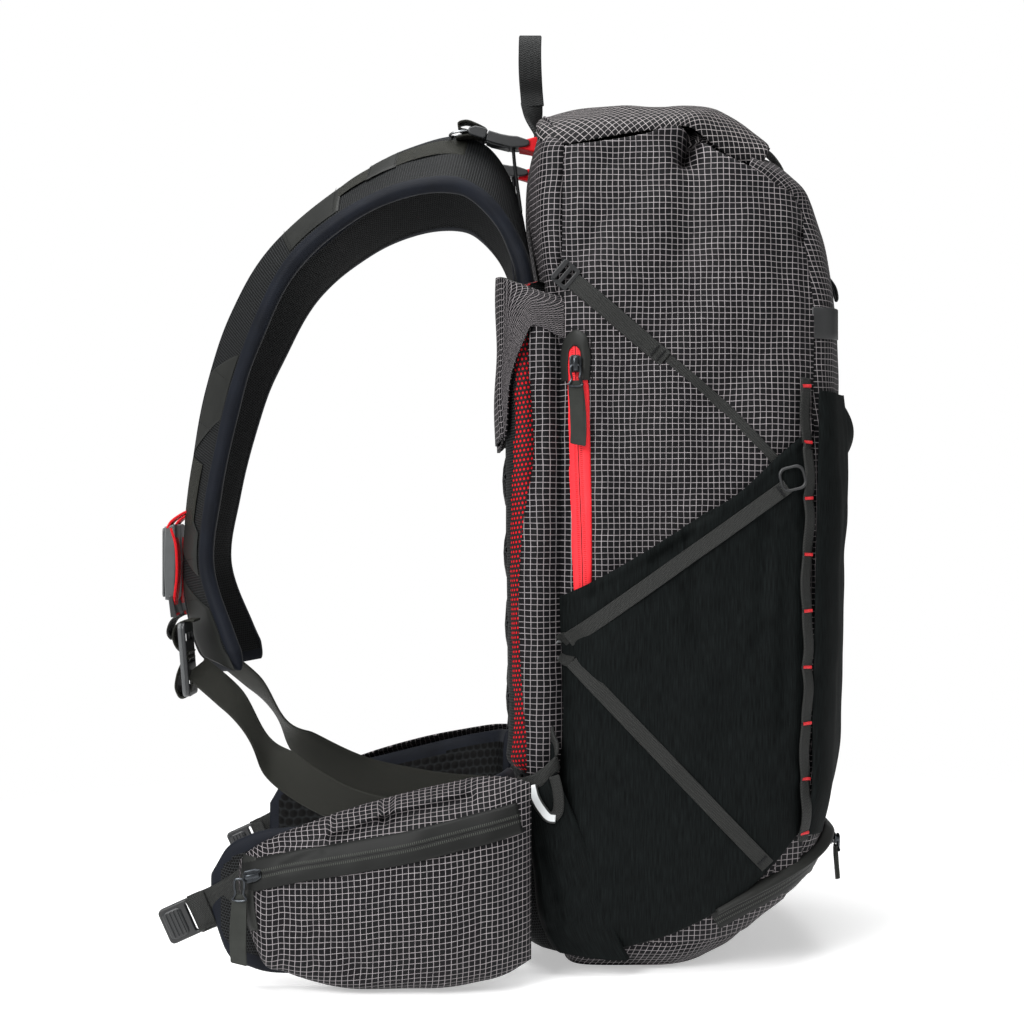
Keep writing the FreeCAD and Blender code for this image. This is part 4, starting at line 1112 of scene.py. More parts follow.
# The binding is a stretched knit, dyed navy: nearly black, smooth, with a soft sheen along its turn.
binding, tree, surface = new_material(
    "navy_binding_knitted", Roughness=0.62, Sheen_Weight=0.06, Sheen_Roughness=0.4, Specular_IOR_Level=0.12
)
uv = add(tree, "UVMap", {"uv_map": "cloth"})
fine = add(tree, "TexWave", {"Scale": 420.0, "Distortion": 3.0, "bands_direction": "DIAGONAL"}, {"Vector": uv})
cloud = add(tree, "TexNoise", {"Scale": 30.0, "Detail": 3.0}, {"Vector": uv})
both = add(tree, "Math", {"operation": "MULTIPLY_ADD", 1: 0.35}, {0: fine, 2: cloud})
shown = add(tree, "MapRange", {"From Min": 0.3, "From Max": 1.1}, {"Value": both})
add(
    tree, "Mix", {"data_type": "RGBA", 6: linear("#07090e"), 7: linear("#151922")}, {0: shown},
    into=surface.inputs["Base Color"]
)
add(tree, "Bump", {"Strength": 0.25, "Distance": 0.0003}, {"Height": both}, into=surface.inputs["Normal"])

s = np.concatenate([np.linspace(0, 12.4, 150), 12.4 + 0.6 * np.sin(np.linspace(0.06, math.pi / 2, 16))])
middle, across, out, half = strap_frame(s)
taper = np.clip((13.02 - s) / 0.55, 0, 1) ** 0.42
taper = np.maximum(taper, 0.05)[:, None, None]
around = np.linspace(0, 2 * math.pi, 64, endpoint=False)
a = np.sign(np.cos(around)) * np.abs(np.cos(around)) ** 0.42
b = np.sign(np.sin(around)) * np.abs(np.sin(around)) ** 0.8
bound = np.abs(a) > 0.78
swell = np.where(bound, 1.0, 0.0) * 0.7
b_high = (STRAP_THICK / 2 + swell) * b
wrinkle = ripple(s[:, None] * 30, around[None, :] * 8, 0, 20, 0.5)[..., None]
sideways = (half * (1 + 0.012 * bound) * a)[..., None] * (0.55 + 0.45 * taper)
rings = middle[:, None] - out[:, None] * STRAP_THICK / 2 + across[:, None] * sideways
rings = rings + out[:, None] * (b_high[None, :, None] + wrinkle * np.sign(b)[None, :, None]) * taper
run = run_of(middle)
uv = np.stack(np.broadcast_arrays(half * a + 60 * (b[None, :] < 0), run[:, None]), axis=-1) / 1000
next_a, next_b = np.roll(a, -1), np.roll(b, -1)
ring_kind = np.where(np.abs(a + next_a) / 2 > 0.78, 1, np.where(b + next_b > 0, 0, 2)).tolist()
which = []
for i in range(len(s) - 1):
    which += [1 if s[i] > 12.72 else kind for kind in ring_kind]
which += [1, 1]
strap = tube_of("strap_cover", rings, [black_mesh, binding, dark_mesh], uv, which)
strap, other = fit_pair(strap, "root", "strap_cloth", "shoulder_strap_left")

line = [on_strap(np.linspace(1.2, 12.6, 400), share, 0.35) for share in (0.118, 0.882)]
outs = strap_frame(np.linspace(1.2, 12.6, 400))[2]
rows = [stitches("stitch", p, outs, pitch=3.4, long=2.2) for p in line]
fit_pair(joined("strap_stitching", rows), "root", "strap_cloth")


def strap_patch(name, first, last, share_a, share_b, lift, material, thick=1.3, slack=0.0, slant=0.0):
    """A panel or webbing laid along the strap's outer face. slack lifts its middle off, and slant skews its ends."""
    v = np.linspace(0, 1, 60)[:, None]
    u = np.linspace(0, 1, 14)[None, :]
    s = first + (last - first) * v + slant * (u - 0.5) * np.where(v < 0.5, 1 - 2 * v, 2 * v - 1)
    share = share_a + (share_b - share_a) * u + 0 * v
    rise = lift + slack * np.sin(math.pi * v) + thick / 2 + 0 * u
    top = on_strap(s, share, rise)
    rim = np.minimum(np.minimum(u, 1 - u) * 14, 1) * np.minimum(np.minimum(v, 1 - v) * 30, 1)
    top = top + strap_frame(s)[2] * (thick / 2 * (rim - 1))[..., None]
    return cloth(name, top, material, thick=thick)


# Calendered fabric has a smooth coating pressed onto nylon, with a faint leathery grain.
grain = (1100.0, 2.0, 0.25, 0.00015)
coated = clouded(
    "coated_fabric_calendered", "#191a19", "#272826", 50.0, grain=grain, Roughness=0.5, Specular_IOR_Level=0.2
)

patches = [
    strap_patch("patch", 3.75, 5.1, 0.16, 0.46, 0.4, grey_webbing, 1.5, slack=0.7),
    strap_patch("patch", 5.02, 5.55, 0.13, 0.50, 1.2, coated, 1.4, slack=0.2),
    strap_patch("patch", 5.5, 6.12, 0.15, 0.46, 0.5, grey_webbing, 1.5, slack=0.6),
    strap_patch("patch", 6.0, 6.85, 0.10, 0.84, 0.7, coated, 1.5, slack=0.3),
    strap_patch("patch", 8.55, 9.45, 0.12, 0.86, 0.4, coated, 1.4, slack=0.2, slant=-0.5),
    strap_patch("patch", 9.75, 10.5, 0.12, 0.6, 0.4, grey_webbing, 1.6, slack=0.5),
    strap_patch("patch", 10.35, 10.95, 0.12, 0.84, 0.5, coated, 1.4, slant=0.4),
    strap_patch("patch", 11.35, 12.75, 0.12, 0.86, 0.3, coated, 1.4, slant=0.5),
]
fit_pair(joined("strap_panels", patches), "root", "webbing", "strap_ladders")
rows = []
for s, share_a, share_b in (
    (5.04, 0.15, 0.48), (5.5, 0.15, 0.48), (6.08, 0.12, 0.82), (6.8, 0.12, 0.82), (8.7, 0.2, 0.8),
    (9.35, 0.2, 0.8), (10.9, 0.2, 0.8), (11.45, 0.2, 0.8)
):
    share = np.linspace(share_a, share_b, 20)
    rows.append(
        stitches(
            "stitch", on_strap(s + 0 * share, share, 2.4), strap_frame(s + 0 * share)[2], pitch=2.6, long=1.8
        )
    )
fit_pair(joined("strap_panel_stitching", rows), "root", "webbing")

# ------------------------------------------------------------------ load lifters
# Each strap's top is hooked to the bag by a side-release half on a red tab. Its webbing goes through a
# ladder lock and folds back over the bar, and two elastic cords run down to the strap.


def round_cord(name, points, radius, material):
    """A round cord on a smooth spline through its route."""
    curve = bpy.data.curves.new(name, "CURVE")
    curve.dimensions = "3D"
    spline = curve.splines.new("NURBS")
    spline.points.add(len(points) - 1)
    for control, p in zip(spline.points, points):
        control.co = (p[0] / 1000, p[1] / 1000, p[2] / 1000, 1)
    spline.order_u = 3
    spline.use_endpoint_u = True
    spline.resolution_u = 8
    curve.bevel_depth = radius / 1000
    curve.bevel_resolution = 3
    curve.use_fill_caps = True
    curve.materials.append(material)
    piece = bpy.data.objects.new(name, curve)
    scene.collection.objects.link(piece)
    return piece


slope, rise = unit((0, 1, 0.28)), unit((0, -0.28, 1))
left_out = (-1, 0, 0)
receiver_place = np.array([-62, 101, 637.5])
rim = [
    (-17, -1.5), (-15.5, -4.6), (-6, -5.2), (0, -4), (7, -3.4), (16.5, -3.6), (17.4, 0), (16.8, 4.4), (10, 4.9),
    (-4, 4.4), (-11, 2.2), (-15, 0.6)
]
hollow = [(-3, -1.6), (2, -2.2), (13, -2), (14, 1.6), (8, 2.6), (0, 1.8)]
lid = [(-4, 3), (-2, 5.4), (12, 5.9), (16.6, 5), (16, 3.4)]
lock_place = np.array([-62, 124.6, 644])
lock_rim = [(-7, -3.2), (-5.5, -4.4), (3, -4), (7.6, -1.2), (7.8, 1.8), (5.6, 3.6), (-5, 3.9), (-7, 2.6)]
plates = [([rim], 5, receiver_place + np.array([k, 0, 0]), 1.0) for k in (-9, 9)]
plates += [([rim, hollow], 14, receiver_place, 0.8), ([lid], 16, receiver_place, 0.7)]
plates += [([lock_rim], 4, lock_place + np.array([k, 0, 0]), 1.0) for k in (-11.5, 11.5)]
for wide, high, middle in ((3.2, 6.4, -5), (3.4, 5, 0.6), (3.6, 4.6, 5.8)):
    plates.append(([rounded(wide, high, 1.2, (middle, 0))], 22, lock_place, 0.8))
bars = mouldings(slope, left_out, black_nylon, *plates)
fit_pair(joined("lifter_buckle", bars), "root", "dark_plastic", "lifter_buckles")
turned_end = [
    (-62, 119, 647.5), (-62, 126, 651), (-62, 135, 653.5), (-62, 140, 651.5), (-62, 139, 648), (-62, 133, 646)
]
loop = bent_tape("loop", turned_end + [(-62, 126, 642)], (-1, 0, 0), 18, 1.5, grey_webbing)
route = smooth_line([(-62, 120, 641), (-62, 132, 642.5), (-62, 142, 640.5)], step=1.5)
tail = webbing("lifter_tape", route, (0, 0, 1), 18, 1.5, grey_webbing)
fit_pair(joined("lifter_tape", [loop, tail]), "root", "webbing")
bar = [(-54, 133, 646), (-54, 143, 644.6), (-58, 147, 643.4), (-66, 147, 643.4), (-70, 143, 644.6), (-70, 133, 646)]
# Plated wire is bright, with a slightly uneven polish.
steel = clouded("steel_wire_plated", "#6f7274", "#aeb1b3", 300.0, 3.0, Metallic=1.0, Roughness=0.28)
fit_pair(round_cord("lifter_wire", bar, 0.9, steel), "root", "dark_plastic")
tab = [(14, 8), (14, -8), (-2, -7), (-9, -1.5), (-9, 1.5), (-2, 7)]
root_tab = moulded(
    "lifter_tab", [tab], 2.6, (-62, 78, 631.5), (0, 0.96, 0.2), (0.25, -0.2, 1), red_webbing, edge=0.8,
    shape=lambda p: np.stack([p[:, 0], p[:, 1], p[:, 2] * (1 + 0.12 * np.abs(p[:, 1]))], axis=1)
)
fit_pair(root_tab, "root", "red_webbing")
root_side = moulded(
    "lifter_tab_side", [[(14, 2.6), (13, -3), (0, -8.4), (-7, -6), (-10, -0.6), (-6, 3.4), (2, 4.4)]], 14,
    (-64, 79, 633), (0, 0.97, 0.14), left_out, red_webbing, edge=1.4
)
fit_pair(root_side, "root", "red_webbing", "lifter_webbing")
for k, name in ((-4, "lifter_cord_outer"), (4, "lifter_cord_inner")):
    route = [(-62 + k, 97, 633), (-62 + k, 96.2, 622), (-62 + k, 94.2, 606), (-62 + k, 92.2, 592), (-62 + k, 91, 583)]
    fit_pair(round_cord(name, route, 1.35, cord_black), "root", "elastic_cord", *(["lifter_cords"] if k < 0 else []))

# ------------------------------------------------------------------ chest clasp
# Two flat grey halves that part sideways. Red webbing passes behind them from strap to strap.
clasp = [(31, -3.5), (30, -4.6), (2, -5.6), (-28, -4.4), (-31, -2.6), (-30, 3.2), (-2, 4.4), (29, 3.8)]


def clasp_half(name, x0, x1, body, node, prong):
    wide, centre = x1 - x0, (x0 + x1) / 2
    parts = mouldings((0, 0, 1), left_out, grey_nylon, ([clasp], wide, (centre, 375.5, 306), 1.2))
    rims = [rounded(56, wide - 5, 3), rounded(30, wide - 11, 3)]
    parts += mouldings((0, 0, 1), (0, 1, 0), grey_nylon, (rims, 1.6, (centre, 380.6, 306), 0.6))
    if prong:
        blade = ([rounded(13.5, 19, 2.4)], 3.4, (-6.3, 375.5, 306), 0.7)
        parts += mouldings((1, 0, 0), (0, 1, 0), grey_nylon, blade)
    fit(joined(name, parts), body, "dark_plastic", node)


clasp_half("chest_clasp_left_half", -23, -0.3, "root", "chest_clasp_socket", False)
clasp_half("chest_clasp_right_half", 0.3, 23, "chest_clasp_tongue", "chest_clasp_tongue", True)
parts = []
for route in (
    [(-16, 352, 349), (-16, 362, 347), (-16, 369, 343), (-16, 374, 339), (-16, 377, 334)],
    [
        (-16, 374, 334), (-16, 370.5, 322), (-16, 369.2, 306), (-16, 369.6, 290), (-16, 371, 279),
        (-16, 371.5, 268), (-16, 369, 262)
    ],
):
    parts.append(bent_tape("tape", route, (1, 0, 0), 15, 2.0, red_webbing, 2))
fit_pair(joined("chest_tape", parts), "root", "red_webbing", "chest_webbing_left")
keeper = moulded(
    "chest_keeper", [[(-9, -3), (9, -2), (10, 1.5), (-8, 2.2)]], 17, (-16, 373, 270), (0, 0.16, 1), left_out,
    black_nylon, edge=0.8
)
fit_pair(keeper, "root", "dark_plastic")

# ------------------------------------------------------------------ lower strap adjusters
# A steel-edged ladder lock on each strap's end, with the wide webbing threaded through it and its end
# folded back, and the webbing's long run down to the hip wing.
up, face = unit((0, 0.08, 1)), unit((0, 1, -0.08))
lock_place = np.array([-62, 352, 232])
slots = [rounded(6, 32, 2, (c, 0)) for c in (-17, 0, 17)]
parts = mouldings(up, face, black_nylon, ([rounded(58, 38, 5)] + slots, 3.0, lock_place, 1.0))
rims = [rounded(58, 38, 5), rounded(50, 31, 3)]
parts += mouldings(up, face, grey_nylon, (rims, 3.4, lock_place + 2.6 * face, 1.2))
fit_pair(joined("strap_lock", parts), "root", "dark_plastic", "strap_adjusters")
upper_fold = [
    (-62, 346, 262), (-62, 353, 262), (-62, 360, 258), (-62, 362.5, 250), (-62, 360, 242), (-62, 354, 236),
    (-62, 350, 232)
]
lower_fold = [
    (-62, 350, 238), (-62, 356, 228), (-62, 359.5, 218), (-62, 360, 208), (-62, 356, 202), (-62, 351, 204),
    (-63, 347, 214)
]
loose_end = [(-62, 358, 266), (-62, 363, 263), (-62, 366, 258), (-62, 366.5, 251), (-62, 364, 248), (-62, 362, 251)]
parts = [bent_tape("tape", fold, (-1, 0, 0), 29, 1.8, grey_webbing) for fold in (upper_fold, lower_fold)]
parts.append(bent_tape("tape", loose_end, (-1, 0, 0), 27, 1.8, black_webbing, 1.2))
fit_pair(joined("strap_lock_tape", parts), "root", "webbing")
WEB_LINE = [
    ((-62, 347, 225), (0.7, 0.1, 0.7)), ((-66, 318, 200), (0.2, 0.6, 0.75)), ((-73, 280, 150), (0.1, 0.72, 0.6)),
    ((-82, 238, 124), (0.05, 0.45, 0.8)), ((-92, 180, 108), (0.0, 0.2, 1.0)), ((-104, 86, 98), (0.0, 0.08, 1.0)),
]
line = smooth_line([p for p, _ in WEB_LINE], step=3)
across = unit(smooth_line([a for _, a in WEB_LINE], count=len(line)))
outs = np.cross(across, np.gradient(line, axis=0))
parts = [webbing("tape", line, outs, 30, 1.8, grey_webbing, bow=0.8)]
fit_pair(joined("lower_webbing", parts), "root", "webbing", "lower_webbings")

# ------------------------------------------------------------------ zips
# Coil zips on coated tapes, sewn flat: a long red one up the wearer's left side, and black ones round the
# base and on the hip pockets. Each has a metal slider, a wire link and a soft rubber pull.


def zip_tape(name, tape, coil, slit, gloss=0.55):
    """A coated zip tape: its coil shows as two rows of marks either side of the slit, and the slit is painted dark as
    painted shade in the gap between the tapes.
    """
    material, tree, surface = new_material(name, Roughness=gloss, Specular_IOR_Level=0.2)
    uv = add(tree, "UVMap", {"uv_map": "cloth"})
    split = add(tree, "SeparateXYZ", links={0: uv})
    out = add(tree, "Math", {"operation": "ABSOLUTE"}, {0: split.outputs[0]})
    band = add(tree, "Math", {"operation": "SUBTRACT", 1: 0.0021}, {0: out})
    off = add(tree, "Math", {"operation": "ABSOLUTE"}, {0: band})
    beside = add(tree, "MapRange", {"From Min": 0.0011, "From Max": 0.0006}, {"Value": off})
    turn = add(tree, "Math", {"operation": "MULTIPLY", 1: 2 * math.pi / 0.0015}, {0: split.outputs[1]})
    wave = add(tree, "Math", {"operation": "SINE"}, {0: turn})
    tooth = add(tree, "MapRange", {"From Min": -0.3, "From Max": 0.5}, {"Value": wave})
    marks = add(tree, "Math", {"operation": "MULTIPLY"}, {0: beside, 1: tooth})
    colour = add(tree, "Mix", {"data_type": "RGBA", 6: linear(tape), 7: linear(coil)}, {0: marks})
    # The middle strip is painted in the slit colour: painted shade in the narrow gap.
    gap = add(tree, "MapRange", {"From Min": 0.00045, "From Max": 0.0002}, {"Value": out})
    add(tree, "Mix", {"data_type": "RGBA", 7: linear(slit)}, {0: gap, 6: colour}, into=surface.inputs["Base Color"])
    height = add(tree, "Math", {"operation": "SUBTRACT"}, {0: marks, 1: gap})
    add(tree, "Bump", {"Strength": 0.6, "Distance": 0.0004}, {"Height": height}, into=surface.inputs["Normal"])
    return material


# The third colour of each zip is the painted shade of its slit.
red_zip = zip_tape("red_zip_tape_coated", "#ee3038", "#b3161e", "#3a0507")
black_zip = zip_tape("black_zip_tape_coated", "#121312", "#393b37", "#030303")


def band_on(surface, points, width, lift, material, name, thick=1.0, crown=0.0):
    """A flat band laid on a surface along a line of (y, z) places."""
    line = smooth_line([(0, y, z) for y, z in points], step=2.5)[:, 1:]
    ahead = unit(np.gradient(line, axis=0))
    side = np.stack([ahead[:, 1], -ahead[:, 0]], axis=1)
    off = np.linspace(-0.5, 0.5, 11)
    width = np.interp(np.linspace(0, 1, len(line)), np.linspace(0, 1, np.size(width)), np.atleast_1d(width))
    wide = width[:, None] * off
    flat = line[:, None] + side[:, None] * wide[..., None]
    rows = surface(flat[..., 0], flat[..., 1], lift + thick + crown * (1 - (2 * off) ** 2))
    along = run_of(line)
    uv = np.stack(np.broadcast_arrays(wide, along[:, None]), axis=-1) / 1000
    piece = cloth(name, rows, material, uv, thick=thick, turned=True)
    if np.dot(piece.data.polygons[0].normal, (-1, -0.3, 0)) < 0:
        piece.data.flip_normals()
    return piece


# Cast zinc under black plating is dark and half mirror. The soft pulls are matt, with the mould's fine dimples.
slider_metal = clouded("zinc_slider_black_plated", "#131416", "#4a4e52", 400.0, 3.0, Metallic=0.85, Roughness=0.3)
dimples = (1500.0, 1.0, 0.2, 0.0001)
rubber = clouded(
    "black_rubber_pull_moulded", "#20221f", "#2f312e", 120.0, grain=dimples, Roughness=0.6, Specular_IOR_Level=0.2
)


def slider(name, place, along, out, body, node, fitted=fit):
    """A slider: two shields that narrow to the back, and the bridge that carries its link."""
    place, along, out = np.array(place, float), unit(along), unit(out)
    shield = [
        (-6.4, 2.4), (-6.4, -2.4), (-2, -4.4), (4.6, -4.6), (6.4, -3), (6.6, 0), (6.4, 3), (4.6, 4.6), (-2, 4.4)
    ]
    plates = [([shield], 1.7, place + out * k, 0.7) for k in (-1.4, 1.4)]
    parts = mouldings(along, out, slider_metal, *plates, ([rounded(5, 3.2, 1)], 3, place + along * 3.6, 0.3))
    arch = [(-5.2, 1.6), (-4.8, 3.4), (-2, 4.2), (2, 4.4), (4.6, 3.6), (5, 1.6)]
    line = smooth_line([place + along * a + out * b for a, b in arch], step=1)
    above = np.cross(np.gradient(line, axis=0), np.cross(out, along))
    parts.append(webbing("bridge", line, above, 3.2, 1.3, slider_metal, bow=0.4))
    return fitted(joined(name, parts), body, "zip_metal", node)


def pull(name, top, along, out, long, wide, lean, body, node, fitted=fit, link=12.0):
    """A wire link through the slider's bridge, and the soft tab moulded on it."""
    top, along, out = np.array(top, float), unit(along), unit(out)
    across = np.cross(out, along)
    spots = [
        (2.5, 0), (2, -2.8), (-3, -3.6), (-8, -3), (-link, -5), (-link, 5), (-8, 3), (-3, 3.6), (2, 2.8), (2.5, 0)
    ]
    wire = smooth_line([top + along * a + across * b + out * 1.2 for a, b in spots], step=1)
    turn = np.linspace(0, 2 * math.pi, 8, endpoint=False)[None, :, None]
    ahead = unit(np.gradient(wire, axis=0))
    second = np.cross(ahead, out)
    rings = wire[:, None] + 0.95 * (np.cos(turn) * out + np.sin(turn) * second[:, None])
    parts = [tube_of("link", rings, slider_metal, turned=True)]
    half = wide / 2
    outline = [
        (-link + 3, -half * 0.9), (-link + 3, half * 0.9), (-link - 6, half), (-long * 0.6, half * 1.04),
        (-long + 3, half * 0.98), (-long + 2.2, half * 0.8), (-long, -half * 0.9), (-long + 1, -half)
    ]
    dense = []
    for a, b in zip(outline, outline[1:] + outline[:1]):
        dense += [tuple(np.array(a) * (1 - t) + np.array(b) * t) for t in np.linspace(0, 1, 12, endpoint=False)]

    def bend(p):
        share = np.clip((-p[:, 0] - link) / (long - link), 0, 1)
        sway = lean * np.sin(math.pi * share * 0.9)
        return p + np.stack([0 * p[:, 0], sway, 0.9 * np.sin(p[:, 0] / long * 5)], axis=1)

    parts.append(moulded("tab", [dense], 2.2, top, along, out, rubber, edge=0.6, shape=bend))
    return fitted(joined(name, parts), body, "coated_patch", node)


side_zip_line = [(51, 474), (50.4, 445), (48.2, 380), (46.4, 330), (45.2, 284)]
fit(
    band_on(on_side, side_zip_line, [13, 19.3, 18.5, 17, 15, 13], 0.6, red_zip, "side_zip_tape_red", crown=0.5),
    "root", "red_zip", "side_zip_tape"
)
inner = smooth_line(
    [(0, 56, 445), (0, 56, 462), (0, 55, 468), (0, 51.5, 470.8), (0, 48, 468), (0, 47, 462), (0, 47, 445)],
    count=60
)
outer = smooth_line(
    [(0, 61, 445), (0, 61.2, 468), (0, 59, 476), (0, 51, 482.7), (0, 43.5, 479), (0, 40.3, 470), (0, 40, 445)],
    count=60
)
flat = inner[:, None] + (outer - inner)[:, None] * np.linspace(0, 1, 10)[None, :, None]
edge_lift = np.array([1.2, 2.0, 2.3, 2.4, 2.4, 2.4, 2.3, 2.2, 1.9, 1.2])
garage = cloth(
    "side_zip_garage_cover", on_side(flat[..., 1], flat[..., 2], 1.6 + edge_lift), coated, thick=1.6, turned=True
)
fit(garage, "root", "coated_patch", "side_zip_garage")
around = [(38.2, 446), (38.6, 471), (42, 480.5), (50.5, 485), (60, 478.5), (62.8, 470), (62.6, 446)]
line = smooth_line([(0, y, z) for y, z in around], step=3)
fit(
    stitches(
        "side_zip_garage_stitching", on_side(line[:, 1], line[:, 2], 1.6), (-1, 0, 0), pitch=3.2, long=2.3,
        wide=0.7
    ),
    "root", "coated_patch"
)
zx = float(on_side(49.5, 456)[0])
slider("side_zip_slider_metal", (zx - 6, 51, 457), (0, 0, 1), (-1, 0, 0), "side_zip_slider", "side_zip_slider")
pull(
    "side_zip_pull_rubber", (zx - 9, 51, 453.5), (0, 0.02, 1), (-1, 0, 0), 58, 12, -1.6, "side_zip_pull",
    "side_zip_pull"
)

# The stitched seam up the side, behind the zip.
z = np.linspace(262, 608, 200)
fit_pair(
    stitches(
        "side_seam_stitching", on_side(37.5 + 0 * z, z, 0.5), side_facing(37.5 + 0 * z, z), pitch=3.4, long=2.6,
        wide=0.8
    ),
    "root", "ripstop"
)

# Base zip: a band round the bag's lower front, with a rain flap standing over it.
angle = np.linspace(math.radians(12), math.radians(168), 180)
rise = np.sin(angle)
z = 46 + 50 * np.clip((rise - 0.2) / 0.75, 0, 1) ** 0.8
middle, deep = middle_and_depth(z)
power = 2 / front_square(z)
outs = np.stack([-np.cos(angle), -rise * 0.8, 0 * z], axis=1)
flap_line = np.stack(
    [-half_wide(z) * np.sign(np.cos(angle)) * np.abs(np.cos(angle)) ** power, middle - deep * rise**power, z],
    axis=1
)
flap_line = smooth_line(flap_line + unit(outs) * 2.2, step=3)
outs = faced(flap_line, (0, 0, -1))
outs = outs * np.sign(np.sum(outs * (flap_line - [0, -40, 0]), axis=1, keepdims=True))
base_band = webbing(
    "base_zip_tape_black", flap_line + [0, 0, -6.5] - outs * 1.6, unit(outs + [0, 0, -0.55]), 17, 1.8, black_zip
)
fit(base_band, "root", "black_zip", "base_zip_tape")
flap = webbing(
    "base_zip_flap", flap_line + outs * 2.4 + [0, 0, 3.2], unit(outs * 0.8 + [0, 0, 1]), 10, 1.8, coated, bow=0.6
)
fit(flap, "root", "coated_patch")
slider("base_zip_slider_metal", (-62, -154.4, 90.5), (1, 0, 0), (0, -1, 0), "base_zip_slider", "base_zip_slider")
pull(
    "base_zip_pull_rubber", (-62, -157.5, 91), (0, 0, 1), (0, -1, 0), 34, 10, 0.5, "base_zip_pull",
    "base_zip_pull", link=9.0
)

# ------------------------------------------------------------------ wand pockets
# A slim stretch pocket below each sleeve for a tent pole or shovel handle. Its elastic hem dips, and a
# reflective loop hangs from it.
wand_plan = [
    (-110, 91), (-126, 92.5), (-138, 90.5), (-146, 85), (-149.5, 76), (-150, 68), (-148, 64), (-144, 64),
    (-139, 67), (-134, 68)
]
plan = smooth_line(wand_plan, count=70)
share = np.linspace(0, 1, 70)[None, :]
hem_line = [(0, 147), (0.25, 147.5), (0.45, 149), (0.6, 153), (0.7, 158), (0.78, 164), (0.84, 170), (0.9, 178)]
hem_z = flow(hem_line + [(1, 188)])(share)
foot_z = 13 + 5 * np.sin(math.pi * share * 1.4) ** 2
v = np.linspace(0, 1, 110)[:, None]
z = foot_z + (hem_z - foot_z) * v
lean = flow([(10, -30), (32, -18), (82, -10), (115, -5), (134, -2), (148, 0), (190, 0)])(z)
lean = lean - 26 * np.clip((150 - z) / 90, 0, 1) * np.clip((share - 0.45) / 0.3, 0, 1)
y = plan[:, 1] + lean
tight = flow([(10, 0.93), (40, 0.98), (120, 1.0), (140, 0.992), (190, 0.94)])(z)
x = plan[:, 0] * tight
crease = folded(y, z, [((77, 96), (66, 60), 4.5, 3.4), ((66, 60), (64, 40), 4, 2.2), ((80, 40), (50, 24), 5, 2.8)])
x = x + crease + ripple(x, y, z, 26, 0.9) + ripple(x, y, z, 10, 0.25)
rows = places(x, y, z)
wand = cloth("wand_pocket", rows, stretch, thick=1.4)
fit_pair(wand, "root", "stretch_cloth", "wand_pockets")
rim = rows[-1] + np.array([-0.3, 0.3, -4.8])
outs = faced(rim, (0, 0, -1))
outs = outs * np.sign(np.sum(outs * (rim - [-100, 60, 0]) * [1, 1, 0], axis=1, keepdims=True))
fit_pair(webbing("wand_hem", rim, outs, 11, 2.2, black_webbing, bow=0.5), "root", "webbing", "webbing_tabs")
# Glass beads on a woven tape: a pale grey stripe between dark selvedges.
reflector, tree, surface = new_material("reflective_tape_glass_bead", Roughness=0.4)
uv = add(tree, "UVMap", {"uv_map": "cloth"})
split = add(tree, "SeparateXYZ", links={0: uv})
out = add(tree, "Math", {"operation": "ABSOLUTE"}, {0: split.outputs[0]})
stripe = add(tree, "MapRange", {"From Min": 0.0027, "From Max": 0.0023}, {"Value": out})
add(
    tree, "Mix", {"data_type": "RGBA", 6: linear("#1b1c1c"), 7: linear("#d5d8d9")}, {0: stripe},
    into=surface.inputs["Base Color"]
)
for name, limb, finish in (
    (
        "wand_loop",
        [(-150.5, 83.5, 145), (-152, 81, 136), (-152.6, 76, 127.5), (-153, 70, 121.5), (-152.6, 66, 121)],
        reflector
    ),
    (
        "wand_loop_back",
        [(-152.6, 67.5, 121.5), (-152, 64.5, 125), (-151.4, 63.5, 133), (-150.8, 65, 145), (-150.4, 67, 152)],
        black_webbing
    ),
):
    limb = smooth_line(limb, step=1.5)
    fit_pair(webbing(name, limb, (-1, -0.1, 0), 8, 1.2, finish), "root", "webbing")

# ------------------------------------------------------------------ hip belt
# Each wing is curved foam in open mesh with a broad smooth binding, and hinges at the lumbar pad.
WING = [(-119, 100), (-138, 106), (-156, 130), (-164, 180), (-166, 250), (-161, 318)]
wing_top = flow([(94, 155), (150, 142), (250, 118), (290, 111), (306, 102), (318, 86)])
wing_foot = flow([(94, 16), (150, 12), (250, 10), (288, 14), (306, 24), (318, 52)])
STATIONS, AROUND = 120, 72
line = smooth_line(WING, count=STATIONS)
forward = unit(np.gradient(line, axis=0))
side = np.stack([-forward[:, 1], forward[:, 0]], axis=1)
side = np.where(side[:, :1] > 0, -side, side)
around = np.linspace(0, 2 * math.pi, AROUND, endpoint=False)
a = np.sign(np.cos(around)) * np.abs(np.cos(around)) ** 0.75
b = np.sign(np.sin(around)) * np.abs(np.sin(around)) ** 0.3
high, low = wing_top(line[:, 1]), wing_foot(line[:, 1])
round_end = np.clip((np.arange(STATIONS)[::-1] + 0.3) / 5, 0, 1) ** 0.5
half, mid = (high - low) / 2 * (0.75 + 0.25 * round_end), (high + low) / 2
thick = 6.3 * (0.35 + 0.65 * round_end)
out = thick[:, None] * a
rings = np.stack(
    [line[:, :1] + side[:, :1] * out, line[:, 1:2] + side[:, 1:2] * out, mid[:, None] + half[:, None] * b],
    axis=-1
)
